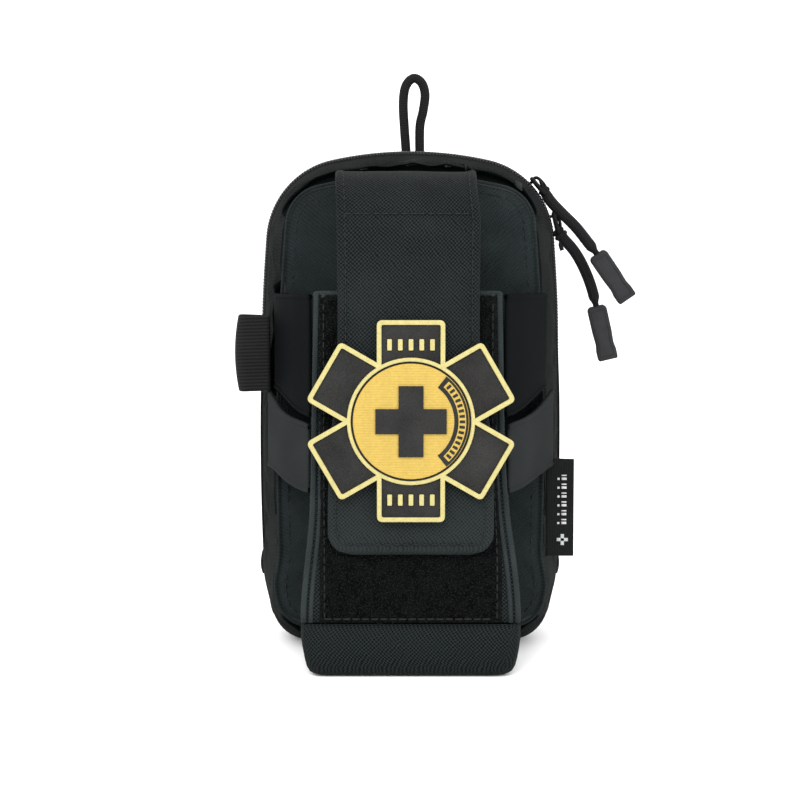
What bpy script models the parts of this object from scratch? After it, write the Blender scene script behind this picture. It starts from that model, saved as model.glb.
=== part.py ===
"""First-aid pouch: a zipped clamshell with a strapped-down tourniquet holder on its front.

Frame: metres, +X to the wearer's left (the viewer's right), +Y towards the back panel, +Z up.
The origin is under the zip plane, on the bottom of the pouch, half way across it.
"""

import math

import bmesh
import bpy
from mathutils import Matrix, Vector

# ---------------------------------------------------------------- driving dimensions (metres)
POUCH_HEIGHT = 0.180
POUCH_HALF_WIDTH = 0.0564
WIDEST_LEVEL = 0.072
SIDE_RADIUS = 1.000
CORNER_RADIUS = 0.033
TOP_RADIUS = 0.132
FOOT_RADIUS = 0.015
ZIP_END_LEVEL = 0.029

FRONT_DEPTH = 0.026
BACK_DEPTH = 0.024
SHELL_WALL = 0.0018
RIM_FROM_ZIP = 0.0054
GAP = 0.0003

FRONT_PANEL_HALF_WIDTH = 0.0472
FRONT_PANEL_TOP = 0.172
FRONT_PANEL_FOOT = 0.0095
FRONT_PANEL_CORNER = 0.020
BACK_PANEL_HALF_WIDTH = 0.050
BACK_PANEL_TOP = 0.174
BACK_PANEL_FOOT = 0.006
BACK_PANEL_CORNER = 0.026
PANEL_SIDE_LEVEL = 0.070
PANEL_TOP_RADIUS = 0.150
PANEL_FOOT_RADIUS = 0.010

FOLD_Y = -0.002
CHAIN_INSET = (0.0001, 0.0013)
CHAIN_Y = (0.0007, 0.0023)
TAPE_INSET = (0.0016, 0.0024)
TAPE_Y = (0.0007, 0.0051)
ZIP_TAB_THICKNESS = 0.0016

HOLDER_FRONT = -0.062
HOLDER_BACK = -FRONT_DEPTH - GAP
HOLDER_TOP = 0.132
HOLDER_TOP_HALF = 0.0332
HOLDER_SEAM = 0.0187
HOLDER_SEAM_HALF = 0.0380
HOLDER_WALL = 0.0018
HOLDER_EDGE_RADIUS = 0.003
LOOP_FIELD_HALF = 0.0312
LOOP_FIELD_THICKNESS = 0.0015

FLAP_THICKNESS = 0.0015
FLAP_HINGE = (-0.0270, 0.1719)
FLAP_FRONT = -0.067

PATCH_LEVEL = 0.0893
PATCH_REACH = 0.0342
PATCH_ARM_HALF = 0.0115
PATCH_BORDER = 0.0017
PATCH_DISC_RADIUS = 0.0192

SLIDER_HALF_LENGTH = 0.0045
SLIDER_OUTER_PLATE = (0.0007, 0.0022)
SLIDER_INNER_PLATE = (-0.0041, -0.0029)
SLIDER_HALF_WIDTH = 0.0044
SLIDER_POST_HALF = 0.0004
BRIDGE_RADIUS = 0.00055
PULL_PIVOT_HEIGHT = 0.0034
PULL_RING_RADIUS = 0.0005
PULL_CORD_DIAMETER = 0.0038
GRIP_HALF_WIDTH = 0.0035
GRIP_HALF_THICKNESS = 0.0026
UPPER_SLIDER_ANGLE = math.radians(46.0)
LOWER_SLIDER_LEVEL = 0.1465

HANGING_CORD_DIAMETER = 0.0031
HANGING_LOOP_Y = 0.008

STRAP_X = 0.022
STRAP_HALF_WIDTH = 0.0125
STRAP_THICKNESS = 0.002
STRAP_TOP = 0.1514
STRAP_FOOT = 0.022
WEBBING_THICKNESS = 0.0015
SNAP_LEVEL = 0.031

# Material name to its colour, roughness and metallic value.
MATERIALS = {
    "cordura": ((0.020, 0.024, 0.024), 0.85, 0.0),
    "lining": ((0.035, 0.038, 0.038), 0.80, 0.0),
    "webbing": ((0.016, 0.019, 0.019), 0.75, 0.0),
    "hook_and_loop": ((0.010, 0.011, 0.011), 0.95, 0.0),
    "mesh": ((0.030, 0.032, 0.032), 0.80, 0.0),
    "zip_coil": ((0.012, 0.013, 0.013), 0.45, 0.0),
    "board": ((0.055, 0.055, 0.055), 0.60, 0.0),
    "black_metal": ((0.015, 0.015, 0.016), 0.40, 0.9),
    "rubber": ((0.022, 0.024, 0.025), 0.70, 0.0),
    "cord": ((0.014, 0.016, 0.016), 0.80, 0.0),
    "patch_field": ((0.055, 0.053, 0.055), 0.90, 0.0),
    "patch_gold": ((0.830, 0.640, 0.120), 0.70, 0.0),
}


# ---------------------------------------------------------------- scene helpers
def clear_scene():
    for obj in list(bpy.data.objects):
        bpy.data.objects.remove(obj, do_unlink=True)


def make_materials():
    made = {}
    for name, (colour, roughness, metallic) in MATERIALS.items():
        made[name] = bpy.data.materials.new(name)
        made[name].use_nodes = True
        shader = made[name].node_tree.nodes["Principled BSDF"]
        shader.inputs["Base Color"].default_value = (*colour, 1.0)
        shader.inputs["Roughness"].default_value = roughness
        shader.inputs["Metallic"].default_value = metallic
    return made


def make_body(name, location, parent=None):
    """An empty on the body's joint axis, which the body's pieces are parented to."""
    empty = bpy.data.objects.new(name, None)
    empty.empty_display_size = 0.01
    pouch_collection.objects.link(empty)
    empty.location = location
    if parent:
        empty.parent = parent
        empty.location = Vector(location) - world_place[parent.name]
    world_place[name] = Vector(location)
    return empty


def add_piece(name, mesh, material, body):
    """A named object whose mesh is in world places, held by its body's empty."""
    piece = bpy.data.objects.new(name, mesh)
    pouch_collection.objects.link(piece)
    piece.data.materials.append(materials[material])
    piece.parent = body
    piece.matrix_parent_inverse = Matrix.Translation(-world_place[body.name])
    return piece


def loft(name, rings, material, body, cap_first=True, cap_last=True):
    """A skin through closed rings of equal counts, with flat caps where asked."""
    bm = bmesh.new()
    rows = [[bm.verts.new(point) for point in ring] for ring in rings]
    for row, following in zip(rows, rows[1:]):
        for i in range(len(row)):
            j = (i + 1) % len(row)
            bm.faces.new((row[i], row[j], following[j], following[i]))
    if cap_first:
        bm.faces.new(rows[0])
    if cap_last:
        bm.faces.new(rows[-1])
    bmesh.ops.recalc_face_normals(bm, faces=bm.faces)
    mesh = bpy.data.meshes.new(name)
    bm.to_mesh(mesh)
    bm.free()
    return add_piece(name, mesh, material, body)


def add_wall(piece, thickness):
    """Thickens an open skin inwards."""
    wall = piece.modifiers.new("wall", "SOLIDIFY")
    wall.thickness = thickness
    wall.offset = -1.0
    wall.use_even_offset = True


def add_box(name, low, high, material, body, edge=0.0):
    """A cuboid between two corners, with rounded edges where asked."""
    bm = bmesh.new()
    bmesh.ops.create_cube(bm, size=1.0)
    size = Vector(high) - Vector(low)
    centre = (Vector(high) + Vector(low)) / 2
    bmesh.ops.scale(bm, vec=size, verts=bm.verts)
    bmesh.ops.translate(bm, vec=centre, verts=bm.verts)
    mesh = bpy.data.meshes.new(name)
    bm.to_mesh(mesh)
    bm.free()
    piece = add_piece(name, mesh, material, body)
    if edge:
        bevel = piece.modifiers.new("edge", "BEVEL")
        bevel.width = edge
        bevel.segments = 2
    return piece


def add_button(name, centre, radius, depth, material, body):
    """A round disc whose axis runs along Y."""
    bm = bmesh.new()
    turn = Matrix.Translation(centre) @ Matrix.Rotation(math.radians(90), 4, "X")
    bmesh.ops.create_cone(
        bm, cap_ends=True, segments=20, radius1=radius, radius2=radius, depth=depth, matrix=turn
    )
    mesh = bpy.data.meshes.new(name)
    bm.to_mesh(mesh)
    bm.free()
    return add_piece(name, mesh, material, body)


def add_tube(name, points, radius, material, body, cyclic=False):
    """A round wire or cord along a list of points."""
    curve = bpy.data.curves.new(name, "CURVE")
    curve.dimensions = "3D"
    curve.bevel_depth = radius
    curve.bevel_resolution = 2
    curve.use_fill_caps = True
    spline = curve.splines.new("POLY")
    spline.points.add(len(points) - 1)
    for slot, point in zip(spline.points, points):
        slot.co = (*point, 1.0)
    spline.use_cyclic_u = cyclic
    return add_piece(name, curve, material, body)


def add_flat(name, outlines, y_front, y_back, material, body):
    """A plate cut to (x, z) outlines, facing the front, between two Y places."""
    curve = bpy.data.curves.new(name, "CURVE")
    curve.dimensions = "2D"
    curve.fill_mode = "BOTH"
    curve.extrude = abs(y_back - y_front) / 2
    for outline in outlines:
        spline = curve.splines.new("POLY")
        spline.points.add(len(outline) - 1)
        for slot, (x, z) in zip(spline.points, outline):
            slot.co = (x, z, 0.0, 1.0)
        spline.use_cyclic_u = True
    piece = add_piece(name, curve, material, body)
    piece.rotation_euler = (math.radians(90), 0.0, 0.0)
    piece.location = (0.0, (y_front + y_back) / 2, 0.0)
    return piece


def smooth_route(points, steps):
    """Points along a Catmull-Rom curve through the route's own points."""
    route = [Vector(point) for point in points]
    padded = [2 * route[0] - route[1]] + route + [2 * route[-1] - route[-2]]
    result = []
    for a, b, c, d in zip(padded, padded[1:], padded[2:], padded[3:]):
        for step in range(steps):
            t = step / steps
            result.append(
                0.5 * (2 * b + (c - a) * t + (2 * a - 5 * b + 4 * c - d) * t**2
                       + (3 * b - a - 3 * c + d) * t**3)
            )
    result.append(route[-1])
    return result


# ---------------------------------------------------------------- outlines
def circles_meet(first, first_radius, second, second_radius):
    """The upper right crossing of two circles, which centres an arc tangent to both."""
    across = Vector(second) - Vector(first)
    distance = across.length
    along = (first_radius**2 - second_radius**2 + distance**2) / (2 * distance)
    height = math.sqrt(first_radius**2 - along**2)
    unit = across.normalized()
    foot = Vector(first) + unit * along
    offset = Vector((-unit.y, unit.x)) * height
    return max((foot + offset, foot - offset), key=lambda point: point.x + point.y)


def panel_shape(half_width, top, foot, top_radius, corner_radius, foot_radius, side_level):
    """The arcs of a round-topped outline's right half: (centre, radius, angle) at each point."""
    top_centre = Vector((0.0, top - top_radius))
    side_centre = Vector((half_width - SIDE_RADIUS, side_level))
    corner_centre = circles_meet(
        top_centre, top_radius - corner_radius, side_centre, SIDE_RADIUS - corner_radius
    )
    foot_rise = foot + foot_radius - side_level
    foot_centre = Vector((
        side_centre.x + math.sqrt((SIDE_RADIUS - foot_radius) ** 2 - foot_rise**2),
        foot + foot_radius,
    ))

    def angle_between(a, b):
        return math.atan2(b.y - a.y, b.x - a.x)

    foot_end = angle_between(side_centre, foot_centre)
    zip_end = math.asin((ZIP_END_LEVEL - side_level) / SIDE_RADIUS)
    side_end = angle_between(side_centre, corner_centre)
    corner_end = angle_between(top_centre, corner_centre)
    quarter = math.pi / 2
    rays = [(Vector((0.0, foot_centre.y)), foot_radius, -quarter)]
    arcs = [
        (foot_centre, foot_radius, -quarter, foot_end, 4),
        (side_centre, SIDE_RADIUS, zip_end, side_end, 4),
        (corner_centre, corner_radius, side_end, corner_end, 8),
        (top_centre, top_radius, corner_end, quarter, 4),
    ]
    for centre, radius, start, end, count in arcs:
        begin = 0 if radius in (foot_radius, SIDE_RADIUS) else 1
        for i in range(begin, count + 1):
            rays.append((centre, radius, start + (end - start) * i / count))
    return {"rays": rays, "zip_start": 6, "corner_centre": corner_centre, "side_centre": side_centre}


def right_half(shape, inset=0.0):
    return [
        (centre.x + (radius - inset) * math.cos(angle), centre.y + (radius - inset) * math.sin(angle))
        for centre, radius, angle in shape["rays"]
    ]


def full_ring(shape, inset=0.0):
    half = right_half(shape, inset)
    return half + [(-x, z) for x, z in half[-2:0:-1]]


def zip_path(shape, inset):
    """From the right zip end over the top to the left zip end."""
    half = right_half(shape, inset)[shape["zip_start"]:]
    return half + [(-x, z) for x, z in half[-2::-1]]


def foot_path(shape, inset):
    """From the right zip end under the pouch to the left zip end."""
    half = right_half(shape, inset)[:shape["zip_start"] + 1]
    return half[::-1] + [(-x, z) for x, z in half[1:]]


def blend_rings(ring_a, ring_b, share):
    return [
        (ax + (bx - ax) * share, az + (bz - az) * share)
        for (ax, az), (bx, bz) in zip(ring_a, ring_b)
    ]


def at_depth(ring, y):
    return [(x, y, z) for x, z in ring]


def add_band(name, path_of, insets, y_range, material, body):
    """A strip that follows the zip line: a rectangle swept along it."""
    outer = path_of(ZIP_LINE, insets[0])
    inner = path_of(ZIP_LINE, insets[1])
    low, high = min(y_range), max(y_range)
    rings = [
        [(xo, low, zo), (xo, high, zo), (xi, high, zi), (xi, low, zi)]
        for (xo, zo), (xi, zi) in zip(outer, inner)
    ]
    return loft(name, rings, material, body)


ZIP_LINE = panel_shape(
    POUCH_HALF_WIDTH, POUCH_HEIGHT, 0.0, TOP_RADIUS, CORNER_RADIUS, FOOT_RADIUS, WIDEST_LEVEL
)
FRONT_PANEL = panel_shape(
    FRONT_PANEL_HALF_WIDTH, FRONT_PANEL_TOP, FRONT_PANEL_FOOT, PANEL_TOP_RADIUS,
    FRONT_PANEL_CORNER, PANEL_FOOT_RADIUS, PANEL_SIDE_LEVEL,
)
BACK_PANEL = panel_shape(
    BACK_PANEL_HALF_WIDTH, BACK_PANEL_TOP, BACK_PANEL_FOOT, PANEL_TOP_RADIUS,
    BACK_PANEL_CORNER, PANEL_FOOT_RADIUS, PANEL_SIDE_LEVEL,
)


# ---------------------------------------------------------------- clamshell halves
def add_shell(name, panel, depth, side, body):
    """One half of the pouch: a gusset that rises from the zip to a flat panel."""
    rim = full_ring(ZIP_LINE)
    top = full_ring(panel)
    profile = [(0.00, RIM_FROM_ZIP), (0.00, 0.32 * depth), (0.12, 0.45 * depth), (0.45, 0.72 * depth),
               (0.85, 0.94 * depth), (1.00, depth)]
    rings = [at_depth(blend_rings(rim, top, share), side * y) for share, y in profile]
    shell = loft(name, rings, "cordura", body, cap_first=False)
    add_wall(shell, SHELL_WALL)
    return shell


def add_inner_plate(name, panel, inset, y_range, material, body):
    ring = full_ring(panel, inset)
    return loft(name, [at_depth(ring, y) for y in y_range], material, body)


def add_zip_half(word, side, body):
    add_band(f"zip_tape_{word}", zip_path, TAPE_INSET, [side * y for y in TAPE_Y], "webbing", body)
    add_band(f"zip_chain_{word}", zip_path, CHAIN_INSET, [side * y for y in CHAIN_Y], "zip_coil", body)


def add_front_half(body):
    add_shell("front_shell", FRONT_PANEL, FRONT_DEPTH, -1, body)
    add_zip_half("front", -1, body)
    add_band("lower_gusset_front", foot_path, (0.0, SHELL_WALL),
             (-TAPE_Y[1], FOLD_Y - GAP / 2), "cordura", body)
    lining_y = -FRONT_DEPTH + SHELL_WALL + GAP
    add_inner_plate("front_lining", FRONT_PANEL, 0.0055, (lining_y, lining_y + 0.0008), "lining", body)
    pocket_y = lining_y + 0.0008 + GAP
    add_box("mesh_pocket", (-0.036, pocket_y, 0.020), (0.036, pocket_y + 0.001, 0.100), "mesh", body)
    add_box("mesh_pocket_binding", (-0.036, pocket_y, 0.1003), (0.036, pocket_y + 0.0016, 0.106),
            "webbing", body)


def elastic_path():
    """The plan of an elastic band sewn down between three tool loops."""
    half_span = 0.037
    rise = 0.0055
    base = 0.0180
    count = 24
    points = []
    for i in range(count + 1):
        x = -half_span + 2 * half_span * i / count
        points.append((x, base - rise * abs(math.sin(3 * math.pi * i / count))))
    return points


def add_elastic_band(name, foot, top, body):
    thickness = 0.0008
    rings = [
        [(x, y, foot), (x, y, top), (x, y + thickness, top), (x, y + thickness, foot)]
        for x, y in elastic_path()
    ]
    return loft(name, rings, "webbing", body)


def add_back_half(body):
    add_shell("back_shell", BACK_PANEL, BACK_DEPTH, 1, body)
    add_zip_half("back", 1, body)
    add_band("lower_gusset_back", foot_path, (0.0, SHELL_WALL),
             (FOLD_Y + GAP / 2, TAPE_Y[1]), "cordura", body)
    board_y = BACK_DEPTH - SHELL_WALL - GAP
    add_inner_plate("back_board", BACK_PANEL, 0.0060, (board_y - 0.0012, board_y), "board", body)
    lining_y = board_y - 0.0012 - GAP
    add_inner_plate("back_lining", BACK_PANEL, 0.0070, (lining_y - 0.0008, lining_y), "lining", body)
    add_elastic_band("elastic_band_upper", 0.105, 0.130, body)
    add_elastic_band("elastic_band_lower", 0.040, 0.065, body)
    near_x = POUCH_HALF_WIDTH + GAP
    for word, side in (("left", -1), ("right", 1)):
        low_x, high_x = sorted((side * near_x, side * (near_x + ZIP_TAB_THICKNESS)))
        add_box(f"zip_end_tab_{word}", (low_x, FOLD_Y, 0.0245), (high_x, 0.0045, 0.0325),
                "webbing", body, edge=0.0004)


# ---------------------------------------------------------------- tourniquet holder
def holder_half_width(level):
    share = (HOLDER_TOP - level) / (HOLDER_TOP - HOLDER_SEAM)
    return HOLDER_TOP_HALF + (HOLDER_SEAM_HALF - HOLDER_TOP_HALF) * share


def corner_points(centre_x, centre_y, radius, start, end, count=3):
    return [
        (centre_x + radius * math.cos(math.radians(start + (end - start) * i / count)),
         centre_y + radius * math.sin(math.radians(start + (end - start) * i / count)))
        for i in range(count + 1)
    ]


def sleeve_section(level):
    """A U open towards the pouch: outer wall one way, inner wall back."""
    half = holder_half_width(level)
    radius = HOLDER_EDGE_RADIUS

    def trace(half_width, front, edge):
        left = corner_points(-half_width + edge, front + edge, edge, 180, 270)
        right = corner_points(half_width - edge, front + edge, edge, 270, 360)
        return [(-half_width, HOLDER_BACK)] + left + right + [(half_width, HOLDER_BACK)]

    outer = trace(half, HOLDER_FRONT, radius)
    inner = trace(half - HOLDER_WALL, HOLDER_FRONT + HOLDER_WALL, radius - HOLDER_WALL)
    return [(x, y, level) for x, y in outer + inner[::-1]]


def cup_section(level, half, front, back, radius):
    corners = (
        corner_points(half - radius, back - radius, radius, 0, 90)
        + corner_points(-half + radius, back - radius, radius, 90, 180)
        + corner_points(-half + radius, front + radius, radius, 180, 270)
        + corner_points(half - radius, front + radius, radius, 270, 360)
    )
    return [(x, y, level) for x, y in corners]


def add_holder(body):
    levels = [HOLDER_SEAM, 0.056, 0.094, HOLDER_TOP]
    loft("holder_sleeve", [sleeve_section(level) for level in levels], "cordura", body)
    back = HOLDER_BACK
    cup = loft("holder_cup", [
        cup_section(0.0, 0.0330, HOLDER_FRONT + 0.0030, back - 0.0010, 0.003),
        cup_section(0.0012, 0.0355, HOLDER_FRONT + 0.0012, back, 0.003),
        cup_section(0.0040, 0.0375, HOLDER_FRONT + 0.0003, back, 0.003),
        cup_section(0.0090, 0.0390, HOLDER_FRONT, back, 0.003),
        cup_section(HOLDER_SEAM - GAP, HOLDER_SEAM_HALF + 0.0003, HOLDER_FRONT, back, 0.003),
    ], "cordura", body, cap_last=False)
    add_wall(cup, HOLDER_WALL)
    add_box("loop_field", (-LOOP_FIELD_HALF, HOLDER_FRONT - GAP - LOOP_FIELD_THICKNESS, HOLDER_SEAM),
            (LOOP_FIELD_HALF, HOLDER_FRONT - GAP, 0.1312), "hook_and_loop", body)


def add_side_strap(name, side, outer_levels, inner_levels, body):
    """A flat strap from the front panel's edge to the holder's front edge."""
    thickness = 0.0010
    outer_x = side * 0.0486
    outer_y = HOLDER_BACK - 0.0004
    inner_y = HOLDER_FRONT + 0.0022
    rings = []
    for x_of, y, (low, high) in (
        (lambda level: outer_x, outer_y, outer_levels),
        (lambda level: side * (holder_half_width(level) + 0.0004), inner_y, inner_levels),
    ):
        rings.append([
            (x_of(low), y, low), (x_of(high), y, high),
            (x_of(high) + side * thickness, y - thickness / 2, high),
            (x_of(low) + side * thickness, y - thickness / 2, low),
        ])
    return loft(name, rings, "cordura", body)


def add_side_straps(body):
    for word, side in (("left", -1), ("right", 1)):
        add_side_strap(f"side_band_{word}", side, (0.0955, 0.1300), (0.0888, 0.1316), body)
        add_side_strap(f"wing_{word}", side, (0.0655, 0.0912), (0.0632, 0.0882), body)


def add_webbing_loop(body):
    """A folded loop of ribbed webbing that stands out of the left seam."""
    low, high = 0.094, 0.1215
    root, tip = -0.0504, -0.0629
    y_front, y_back = -0.0302, -0.0228
    wall = 0.0012
    fold = (y_back - y_front) / 2
    middle = (y_front + y_back) / 2

    def trace(radius):
        arc = corner_points(tip + fold, middle, radius, 90, 270, 8)
        return [(root, middle + radius)] + arc + [(root, middle - radius)]

    plan = trace(fold) + trace(fold - wall)[::-1]
    loft("side_webbing_loop", [[(x, y, z) for x, y in plan] for z in (low, high)], "webbing", body)


def add_side_label(body):
    add_box("side_label", (0.0487, -0.0258, 0.0352), (0.0594, -0.0249, 0.0708), "webbing", body)


# ---------------------------------------------------------------- flap and patch
# Outer face of the flap from its sewn edge to its tip: (y, z, half width).
FLAP_STATIONS = [
    (-0.0268, 0.1726, 0.0260), (-0.0360, 0.1730, 0.0260), (-0.0450, 0.1726, 0.0260),
    (-0.0540, 0.1700, 0.0258), (-0.0610, 0.1645, 0.0254), (-0.0650, 0.1560, 0.0251),
    (-0.0666, 0.1460, 0.0249), (FLAP_FRONT, 0.1200, 0.0248), (FLAP_FRONT, 0.1000, 0.0255),
    (FLAP_FRONT, 0.0850, 0.0270), (FLAP_FRONT, 0.0630, 0.0282),
]
FLAP_TIP = 0.0431
FLAP_TIP_RADIUS = 0.0077


def add_flap(body):
    stations = list(FLAP_STATIONS)
    half = FLAP_STATIONS[-1][2]
    for i in range(5):
        angle = math.radians(90 * i / 4)
        stations.append((
            FLAP_FRONT,
            FLAP_TIP + FLAP_TIP_RADIUS * (1 - math.sin(angle)),
            half - FLAP_TIP_RADIUS * (1 - math.cos(angle)),
        ))
    bm = bmesh.new()
    pairs = [(bm.verts.new((-w, y, z)), bm.verts.new((w, y, z))) for y, z, w in stations]
    for (left, right), (next_left, next_right) in zip(pairs, pairs[1:]):
        bm.faces.new((left, next_left, next_right, right))
    mesh = bpy.data.meshes.new("flap_panel")
    bm.to_mesh(mesh)
    bm.free()
    add_wall(add_piece("flap_panel", mesh, "cordura", body), FLAP_THICKNESS)
    inner = FLAP_FRONT + FLAP_THICKNESS + GAP
    add_box("flap_hook_strip", (-0.020, inner, 0.047), (0.020, inner + 0.0009, 0.075),
            "hook_and_loop", body)
    add_button("patch_loop_panel", (0.0, FLAP_FRONT - GAP - 0.0004, PATCH_LEVEL), 0.0200, 0.0008,
               "hook_and_loop", body)


def star_outline(reach, arm_half):
    """Six square arms, 60 degrees apart, with the outer corners cut round."""
    cut = 0.0009
    outline = []
    for arm in range(6):
        turn = math.radians(60 * arm + 90)
        notch = turn - math.radians(30)
        outline.append((2 * arm_half * math.cos(notch), 2 * arm_half * math.sin(notch)))
        for along, across in ((reach - cut, -arm_half), (reach, cut - arm_half),
                              (reach, arm_half - cut), (reach - cut, arm_half)):
            outline.append((
                along * math.cos(turn) - across * math.sin(turn),
                along * math.sin(turn) + across * math.cos(turn),
            ))
    return [(x, z + PATCH_LEVEL) for x, z in outline]


def round_outline(radius, count=28):
    return [
        (radius * math.cos(2 * math.pi * i / count), PATCH_LEVEL + radius * math.sin(2 * math.pi * i / count))
        for i in range(count)
    ]


def cross_outline(reach, half):
    corners = [(half, reach), (half, half), (reach, half), (reach, -half), (half, -half), (half, -reach),
               (-half, -reach), (-half, -half), (-reach, -half), (-reach, half), (-half, half),
               (-half, reach)]
    return [(x, z + PATCH_LEVEL) for x, z in corners]


def add_patch(body):
    backing = FLAP_FRONT - GAP - 0.0008 - GAP
    base = backing - 0.0006 - GAP
    face = base - 0.0012 - GAP
    emblem = face - 0.0006 - GAP
    star = star_outline(PATCH_REACH, PATCH_ARM_HALF)
    window = star_outline(PATCH_REACH - PATCH_BORDER, PATCH_ARM_HALF - PATCH_BORDER)
    add_flat("patch_hook_backing", [round_outline(0.0205)], backing - 0.0006, backing,
             "hook_and_loop", body)
    add_flat("patch_base", [star], base - 0.0012, base, "patch_field", body)
    add_flat("patch_border", [star, window], face - 0.0006, face, "patch_gold", body)
    add_flat("patch_disc", [round_outline(PATCH_DISC_RADIUS)], face - 0.0006, face, "patch_gold", body)
    add_flat("patch_emblem", [cross_outline(0.0120, 0.0042)], emblem - 0.0005, emblem,
             "patch_field", body)


# ---------------------------------------------------------------- zip sliders and pulls
def slider_frame(name):
    """Where a slider sits on the zip line: place, downward tangent and outward normal in (x, z)."""
    if name == "upper":
        centre = ZIP_LINE["corner_centre"]
        radius = CORNER_RADIUS
        angle = math.pi / 2 - UPPER_SLIDER_ANGLE
    else:
        centre = ZIP_LINE["side_centre"]
        radius = SIDE_RADIUS
        angle = math.asin((LOWER_SLIDER_LEVEL - WIDEST_LEVEL) / SIDE_RADIUS)
    normal = Vector((math.cos(angle), math.sin(angle)))
    tangent = Vector((normal.y, -normal.x))
    return centre + radius * normal, tangent, normal


def in_slider(name, along, out, y=0.0):
    place, tangent, normal = slider_frame(name)
    point = place + tangent * along + normal * out
    return Vector((point.x, y, point.y))


def add_slider(name, body):
    half = SLIDER_HALF_WIDTH
    post = SLIDER_POST_HALF
    outer_low, outer_high = SLIDER_OUTER_PLATE
    inner_low, inner_high = SLIDER_INNER_PLATE
    profile = [(-half, outer_high), (half, outer_high), (half, outer_low), (post, outer_low),
               (post, inner_high), (half, inner_high), (half, inner_low), (-half, inner_low),
               (-half, inner_high), (-post, inner_high), (-post, outer_low), (-half, outer_low)]
    rings = [
        [in_slider(name, along, out, y) for y, out in profile]
        for along in (-SLIDER_HALF_LENGTH, SLIDER_HALF_LENGTH)
    ]
    loft(f"slider_{name}_body", rings, "black_metal", body)
    foot = outer_high + GAP
    arch = [(-0.0032, foot), (-0.0031, 0.0040), (-0.0022, 0.0051), (0.0, 0.0055),
            (0.0022, 0.0051), (0.0031, 0.0040), (0.0032, foot)]
    add_tube(f"slider_{name}_bridge", [in_slider(name, along, out) for along, out in arch],
             BRIDGE_RADIUS, "black_metal", body)


# Route of each pull's cord as (x, y, z), and the grip's two ends.
PULLS = {
    "upper": {
        "pivot_along": 0.0010,
        "route": [(0.0513, 0.0, 0.1643), (0.0553, -0.0008, 0.1589), (0.0610, -0.0022, 0.1523),
                  (0.0655, -0.0032, 0.1471), (0.0679, -0.0036, 0.1433)],
        "grip": ((0.0681, -0.0036, 0.1430), (0.0795, -0.0036, 0.1265)),
    },
    "lower": {
        "pivot_along": -0.0015,
        "route": [(0.0613, 0.0, 0.1446), (0.0630, 0.0004, 0.1408), (0.0652, 0.0010, 0.1360),
                  (0.0670, 0.0014, 0.1299), (0.0684, 0.0015, 0.1240)],
        "grip": ((0.0685, 0.0015, 0.1236), (0.0731, 0.0015, 0.1040)),
    },
}


def pull_pivot(name):
    return in_slider(name, PULLS[name]["pivot_along"], PULL_PIVOT_HEIGHT)


def add_pull(name, body):
    pivot = pull_pivot(name)
    start = Vector(PULLS[name]["route"][0])
    along = (start - pivot).normalized()
    across = Vector((0.0, 1.0, 0.0))
    half = 0.0024
    cut = 0.0008
    length = (start - pivot).length - PULL_RING_RADIUS - GAP
    corners = [(0.0, cut - half), (0.0, half - cut), (cut, half), (length - cut, half),
               (length, half - cut), (length, cut - half), (length - cut, -half), (cut, -half)]
    add_tube(f"pull_{name}_ring", [pivot + along * s + across * y for s, y in corners],
             PULL_RING_RADIUS, "black_metal", body, cyclic=True)
    add_tube(f"pull_{name}_cord", smooth_route(PULLS[name]["route"], 3), PULL_CORD_DIAMETER / 2,
             "cord", body)
    top, tip = (Vector(point) for point in PULLS[name]["grip"])
    down = (tip - top).normalized()
    side = Vector((down.z, 0.0, -down.x))
    rings = []
    for share, scale in ((0.0, 0.75), (0.06, 1.0), (0.5, 0.94), (0.88, 1.0), (1.0, 0.9)):
        centre = top + (tip - top) * share
        half_width = GRIP_HALF_WIDTH * scale
        half_depth = GRIP_HALF_THICKNESS * scale
        chamfer = 0.0011
        rings.append([
            centre + side * a + across * b
            for a, b in ((-half_width, chamfer - half_depth), (chamfer - half_width, -half_depth),
                         (half_width - chamfer, -half_depth), (half_width, chamfer - half_depth),
                         (half_width, half_depth - chamfer), (half_width - chamfer, half_depth),
                         (chamfer - half_width, half_depth), (-half_width, half_depth - chamfer))
        ])
    loft(f"pull_{name}_grip", rings, "rubber", body)


# ---------------------------------------------------------------- top loop and back straps
HANGING_ROUTE = [(-0.0014, 0.1810), (-0.0021, 0.1890), (-0.0025, 0.1980), (-0.0014, 0.2044),
                 (0.0014, 0.2069), (0.0041, 0.2047), (0.0053, 0.1990), (0.0047, 0.1900), (0.0034, 0.1810)]


def add_hanging_loop(body):
    route = [(x, HANGING_LOOP_Y, z) for x, z in HANGING_ROUTE]
    add_tube("hanging_loop", smooth_route(route, 3), HANGING_CORD_DIAMETER / 2, "cord", body)


def add_back_webbing(body):
    near = BACK_DEPTH + GAP
    far = near + WEBBING_THICKNESS
    for word, level in (("upper", 0.126), ("middle", 0.088), ("lower", 0.050)):
        add_box(f"webbing_row_{word}", (-0.045, near, level - 0.0125), (0.045, far, level + 0.0125),
                "webbing", body)
    add_box("strap_header", (-0.036, near, 0.1522), (0.036, far, 0.1580), "webbing", body)
    for word, x in (("left", -STRAP_X), ("right", STRAP_X)):
        add_button(f"snap_stud_{word}", (x, (near + far) / 2, SNAP_LEVEL), 0.0045, WEBBING_THICKNESS,
                   "black_metal", body)


def strap_y():
    near = BACK_DEPTH + GAP + WEBBING_THICKNESS + GAP
    return near, near + STRAP_THICKNESS


def add_back_strap(word, x, body):
    near, far = strap_y()
    add_box(f"strap_{word}", (x - STRAP_HALF_WIDTH, near, STRAP_FOOT),
            (x + STRAP_HALF_WIDTH, far, STRAP_TOP), "webbing", body, edge=0.0005)
    add_button(f"strap_snap_{word}", (x, far + GAP + 0.0008, SNAP_LEVEL), 0.0062, 0.0016,
               "black_metal", body)


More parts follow.
